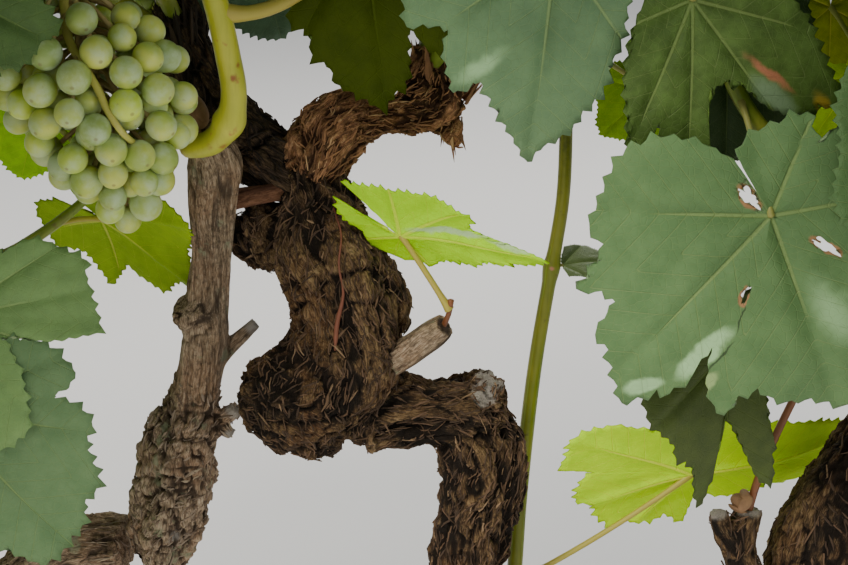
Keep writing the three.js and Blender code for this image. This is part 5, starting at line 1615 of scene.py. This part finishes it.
# Each piece of shoots: its finish, its shoots and how many sides they have
CANE_PIECES = {
    "thick_yellow_shoot": (YELLOW_CANE, ["foliage_left_stem"], 14),
    "upright_green_shoot": (UPRIGHT_CANE, ["foliage_upright"], 12),
    "brown_spur_shoots": (BROWN_CANE, ["foliage_right_spur", "foliage_centre_spur"], 10),
    "left_shoots": (GREEN_CANE, shoots_named("left", "foliage_left_stem"), 8),
    "right_shoots": (GREEN_CANE, shoots_named("right", "foliage_right_spur"), 8),
}
for name, (finish, nodes, sides) in CANE_PIECES.items():
    form = Shape()
    for plan in SHOOTS:
        if plan["name"] not in nodes:
            continue
        tip = 1.8 if plan["length"] else plan["radius"] * 0.7
        swollen = EARLY_NODES.get(plan["name"], []) + list(range(len(plan["guide"]) - 1, len(plan["line"])))
        places, radii = cane_places(plan["line"], plan["radius"], tip, 4.0, swollen)
        share, until = SLIM.get(plan["name"], (1, 1))
        along = np.linspace(0, len(plan["line"]) - 1, len(radii))
        radii = radii * np.interp(along, [0, until * 0.6, until], [share, share, 1])
        form.add(*tube(places, radii, sides))
        for twig in plan["grown"]["twigs"]:
            form.add(*tube(*cane_places(twig, 2.3, 1.5), 6))
        for k in range(len(plan["guide"]) - 1, len(plan["line"]) - 1):
            heading = unit(plan["line"][k] - plan["line"][k - 1])
            out = sideways_of(plan["line"][k], heading) * (1 if k % 2 else -1)
            bud = plan["line"][k] + out * plan["radius"] * 0.9
            form.add(*tube([bud - heading * 2, bud + heading * 2 + out, bud + heading * 6 + out * 2.4],
                           np.array([2.0, 2.6, 0.7]) * plan["radius"] / 4.4, 6))
    finish_piece(form.piece(name, [finish]), nodes)

form = Shape()
for twig in fine_twigs:
    form.add(*tube(*cane_places(twig, 1.5, 0.9, 9), 5))
finish_piece(form.piece("fine_twigs", [GREEN_CANE]))


# Grapes
def berry_finish():
    f = Finish("pale_grape", roughness=0.38, specular_ior_level=0.45, subsurface_weight=0.25,
               subsurface_scale=0.004)
    f.shader.inputs["Subsurface Radius"].default_value = (0.8, 1.0, 0.35)
    place = f.object_place()
    bloom = f.noise(place, 95, 4, 0.6)
    pole = f.node("SeparateXYZ", Vector=f.node("UVMap", {"uv_map": "veins"}).outputs["UV"])
    own = pole.outputs["Y"]
    skin = f.mix(f.between(f.noise(place, 60, 2), 0.35, 0.65), (0.37, 0.47, 0.09), (0.6, 0.63, 0.12))
    skin = f.mix(f.between(own, 0.0, 0.4, 0.8, 0.0), skin, (0.25, 0.35, 0.11))
    skin = f.mix(f.between(own, 0.7, 1.0, 0.0, 0.75), skin, (0.6, 0.74, 0.07))
    skin = f.mix(f.between(bloom, 0.4, 0.66, 0.0, 0.6), skin, (0.52, 0.62, 0.42))
    skin = f.mix(f.between(f.noise(place, 480, 2), 0.68, 0.76, 0.0, 0.35), skin, (0.3, 0.24, 0.1))
    f.colour(f.mix(f.between(pole.outputs["X"], 0.984, 0.997, 0.0, 0.6), skin, (0.2, 0.15, 0.05)))
    f.rough(f.between(bloom, 0.35, 0.65, 0.3, 0.55))
    return f.material


BERRY = berry_finish()
RACHIS = plain_finish("bunch_stalk", (0.42, 0.38, 0.12), (0.3, 0.15, 0.07), 45, 0.6)
FRONT_STALK = plain_finish("front_bunch_stalk", (0.5, 0.5, 0.09), (0.42, 0.33, 0.08), 60, 0.5)
# A berry's radius, and how close the next may be, for each unit of it
BERRY_SIZE = 7.0
BERRY_GAP = 1.86
OUTER_TRIES, INNER_TRIES = 9000, 2500
FURROW_POINTS = 24
# Picture points for each unit of the view
VIEW_SCALE = 850




def furrow_of(bunch):
    """The line of a bunch's stalk where it lies open to the front."""
    line = np.array(bunch.get("furrow", []), float)
    shares = np.linspace(0, 1, FURROW_POINTS)
    return np.array([curve_at(line, share) for share in shares]) if len(line) else line


def over_furrow(spot, furrow, size):
    """Whether a berry would hide the open stalk from the front."""
    away, behind = seen(spot[None, :]), seen(furrow)
    near = np.linalg.norm(behind - away, axis=1).argmin()
    gap = np.linalg.norm(behind[near] - away[0]) * VIEW_SCALE
    return gap < size * 0.95 and spot[1] < furrow[near][1] + size


def berries_of(bunch, seed, size):
    """Places for the berries of one bunch: packed close over its form, and a few more inside."""
    rng = np.random.default_rng(seed)
    neck = np.array(bunch["neck"], float)
    found, layer_of = [], []
    furrow = furrow_of(bunch)
    for layer, inset in ((0, size * 0.95), (1, size * 2.6)):
        for _ in range(INNER_TRIES if layer else OUTER_TRIES):
            share = rng.uniform(0.01, 0.99)
            round_ = math.sqrt(max(0.0, 1 - (1 - 2 * share) ** 2))
            wide = bunch["radius"] * bunch_width(share) * round_ * rng.uniform(0.94, 1.04) - inset
            if wide < 0 and layer:
                continue
            wide = max(wide, 0.0)
            turn = rng.uniform(0, 2 * math.pi)
            spot = neck + (bunch["lean"][0] * share + wide * math.cos(turn),
                           bunch["lean"][1] * share + wide * math.sin(turn), -bunch["length"] * share * 0.97)
            if share < bunch.get("open", 0) and noise(spot[None, :] / 15, seed)[0] > 0.36 + share:
                continue
            if len(furrow) and over_furrow(spot, furrow, size):
                continue
            if found and (((np.array(found) - spot) ** 2).sum(1) < (size * BERRY_GAP) ** 2).any():
                continue
            found.append(spot)
            layer_of.append(layer)
    return np.array(found), np.array(layer_of), rng


def grape_pieces(name, bunches, size, fine_front=False):
    """The berries of some bunches and their stalks. Those in front can be rounder."""
    form, stalks = Shape(), Shape()
    for number, bunch in enumerate(bunches):
        spots, layers, rng = berries_of(bunch, 60 + number + len(name), size)
        neck = np.array(bunch["neck"], float)
        low = neck + (bunch["lean"][0], bunch["lean"][1], -bunch["length"] * 0.86)
        middle = neck * 0.5 + low * 0.5
        for spot, layer in zip(spots, layers):
            fine = fine_front and layer == 0 and spot[1] < neck[1] + 8
            points, faces = ball(4 if fine else 3)
            share = np.clip((neck[2] - spot[2]) / (neck[2] - low[2]), 0, 1)
            axis_point = neck + (low - neck) * max(0.0, share - 0.15)
            out = unit(spot - axis_point + rng.normal(0, 1.2, 3))
            side = unit(np.cross(out, [0.3, 0.2, 1.0]))
            other = np.cross(out, side)
            big = size * rng.uniform(0.88, 1.08)
            pole = points[:, 2]
            turned = big * (1.05 * pole[:, None] * out + points[:, :1] * side + points[:, 1:2] * other) + spot
            extra = np.zeros((len(points), 4))
            extra[:, 0], extra[:, 1] = pole, rng.uniform()
            form.add(turned, faces, 0, extra)
            if layer == 0:
                root = spot - out * size * 0.9
                bend = axis_point * 0.45 + root * 0.55 + UP * 2
                stalks.add(*tube([axis_point, bend, root], [1.5, 1.0, 1.4], 6))
        start = np.array(bunch["start"], float)
        bend = start * 0.5 + neck * 0.5 + UP * 3
        stalks.add(*tube([start, bend, neck, middle, low], [2.4, 2.6, 3.2, 2.2, 1.2], 9))
        if "furrow" in bunch:
            stalks.add(*tube(furrow_of(bunch), np.linspace(2.3, 1.4, FURROW_POINTS), 10), 1)
    finish_piece(form.piece(name, [BERRY]))
    finish_piece(stalks.piece(name + "_stalks", [RACHIS, FRONT_STALK]))


front_bunches, back_bunches = [], []
for plan in SHOOTS:
    (front_bunches if plan["name"] == "foliage_grapes_left" else back_bunches).extend(plan["bunches"])
grape_pieces("front_grapes", front_bunches, BERRY_SIZE, fine_front=True)
grape_pieces("back_grapes", back_bunches, BERRY_SIZE)


# Brown scales round the buds at the foot of two shoots, and the dry tendril on the trunk
def bud_scales(name, middle, count, seed, size, spread, finish):
    rng = np.random.default_rng(seed)
    points, faces = ball(3)
    form = Shape()
    for _ in range(count):
        out = unit(rng.normal(0, 1, 3) * (1, 0.8, 1) + (-0.2, -0.7, 0.1))
        along = unit(np.cross(out, rng.normal(0, 1, 3)))
        side = np.cross(out, along)
        half = size * rng.uniform(0.7, 1.2)
        bowed = points[:, 2:3] - 0.35 * (points[:, :1] ** 2 + points[:, 1:2] ** 2)
        spot = np.array(middle) + out * spread * rng.uniform(0.45, 1)
        lengthwise, crosswise = points[:, :1] * along * 1.1, points[:, 1:2] * side * 0.75
        form.add(spot + half * (lengthwise + crosswise + bowed * out * 0.28), faces)
    return finish_piece(form.piece(name, [finish]))


BUD_BROWN = plain_finish("bud_scale_brown", (0.12, 0.055, 0.025), (0.42, 0.24, 0.11), 210, 0.75)
bud_scales("bud_scales_left", (-112, -24, 590), 22, 91, 6.5, 9.0, BUD_BROWN)
bud_scales("bud_scales_right", (160, -27, 393), 9, 92, 4.2, 5.0, BUD_BROWN)

TENDRIL = [(-44, 0, 542), (-40, 0, 532), (-41, 0, 518), (-39, 0, 504), (-42, 0, 490), (-43, 0, 478)]
TENDRIL_BROWN = plain_finish("dry_tendril", (0.26, 0.075, 0.035), (0.13, 0.05, 0.028), 140, 0.7)
trunk_skin = skin_of(bark["trunk"])
line = np.array(TENDRIL, float)
laid = []
for share in np.linspace(0, 1, 34):
    place = curve_at(line, share)
    spot = trunk_skin.ray_cast(Vector((place[0], -150, place[2])) * MM, Vector((0, 1, 0)))[0]
    if spot:
        laid.append([place[0], spot[1] / MM, place[2]])
laid = np.array(laid)
for _ in range(3):
    laid[1:-1, 1] = np.minimum(laid[1:-1, 1], (laid[:-2, 1] + laid[2:, 1]) / 2)
laid[:, 1] -= 0.5
form = Shape()
radii = np.interp(np.linspace(0, 1, len(laid)), [0, 0.55, 0.75, 0.9, 1], [0.5, 0.6, 1.2, 1.3, 0.4])
form.add(*tube(laid, radii, 7))
finish_piece(form.piece("dry_tendril", [TENDRIL_BROWN]))


# Floor, light and camera
bpy.ops.mesh.primitive_plane_add(size=40, location=(0, 6, 0))
floor = bpy.context.object
floor.name = "pale_floor"
floor.data.materials.append(plain_finish("pale_floor", (0.72, 0.71, 0.69), (0.74, 0.73, 0.71), 0.4, 0.9))

world = bpy.data.worlds.new("soft_sky")
bpy.context.scene.world = world
world.use_nodes = True
sky = world.node_tree.nodes["Background"].inputs
sky["Color"].default_value = (0.93, 0.96, 1.0, 1)
sky["Strength"].default_value = 0.52


def soft_light(name, place, aim, size, power, colour):
    lamp = bpy.data.lights.new(name, "AREA")
    lamp.shape = "DISK"
    lamp.size = size
    lamp.energy = power
    lamp.color = colour
    holder = bpy.data.objects.new(name, lamp)
    bpy.context.scene.collection.objects.link(holder)
    holder.location = place
    holder.rotation_euler = (Vector(aim) - Vector(place)).to_track_quat("-Z", "Y").to_euler()


soft_light("key_light", (-1.3, -2.0, 2.6), (0, 0, 0.5), 1.2, 125, (1.0, 0.955, 0.88))
soft_light("fill_light", (2.2, -1.4, 1.4), (0, 0, 0.5), 2.2, 26, (0.92, 0.96, 1.0))
soft_light("back_light", (0.8, 2.3, 2.3), (0, 0, 0.6), 1.6, 60, (1.0, 0.97, 0.92))

camera_data = bpy.data.cameras.new("camera")
camera_data.sensor_width = 36
camera_data.lens = 76.415
camera_data.clip_start = 0.05
camera = bpy.data.objects.new("camera", camera_data)
bpy.context.scene.collection.objects.link(camera)
camera.location = EYE * MM
camera.rotation_euler = (math.radians(90 - PITCH), 0, 0)
bpy.context.scene.camera = camera
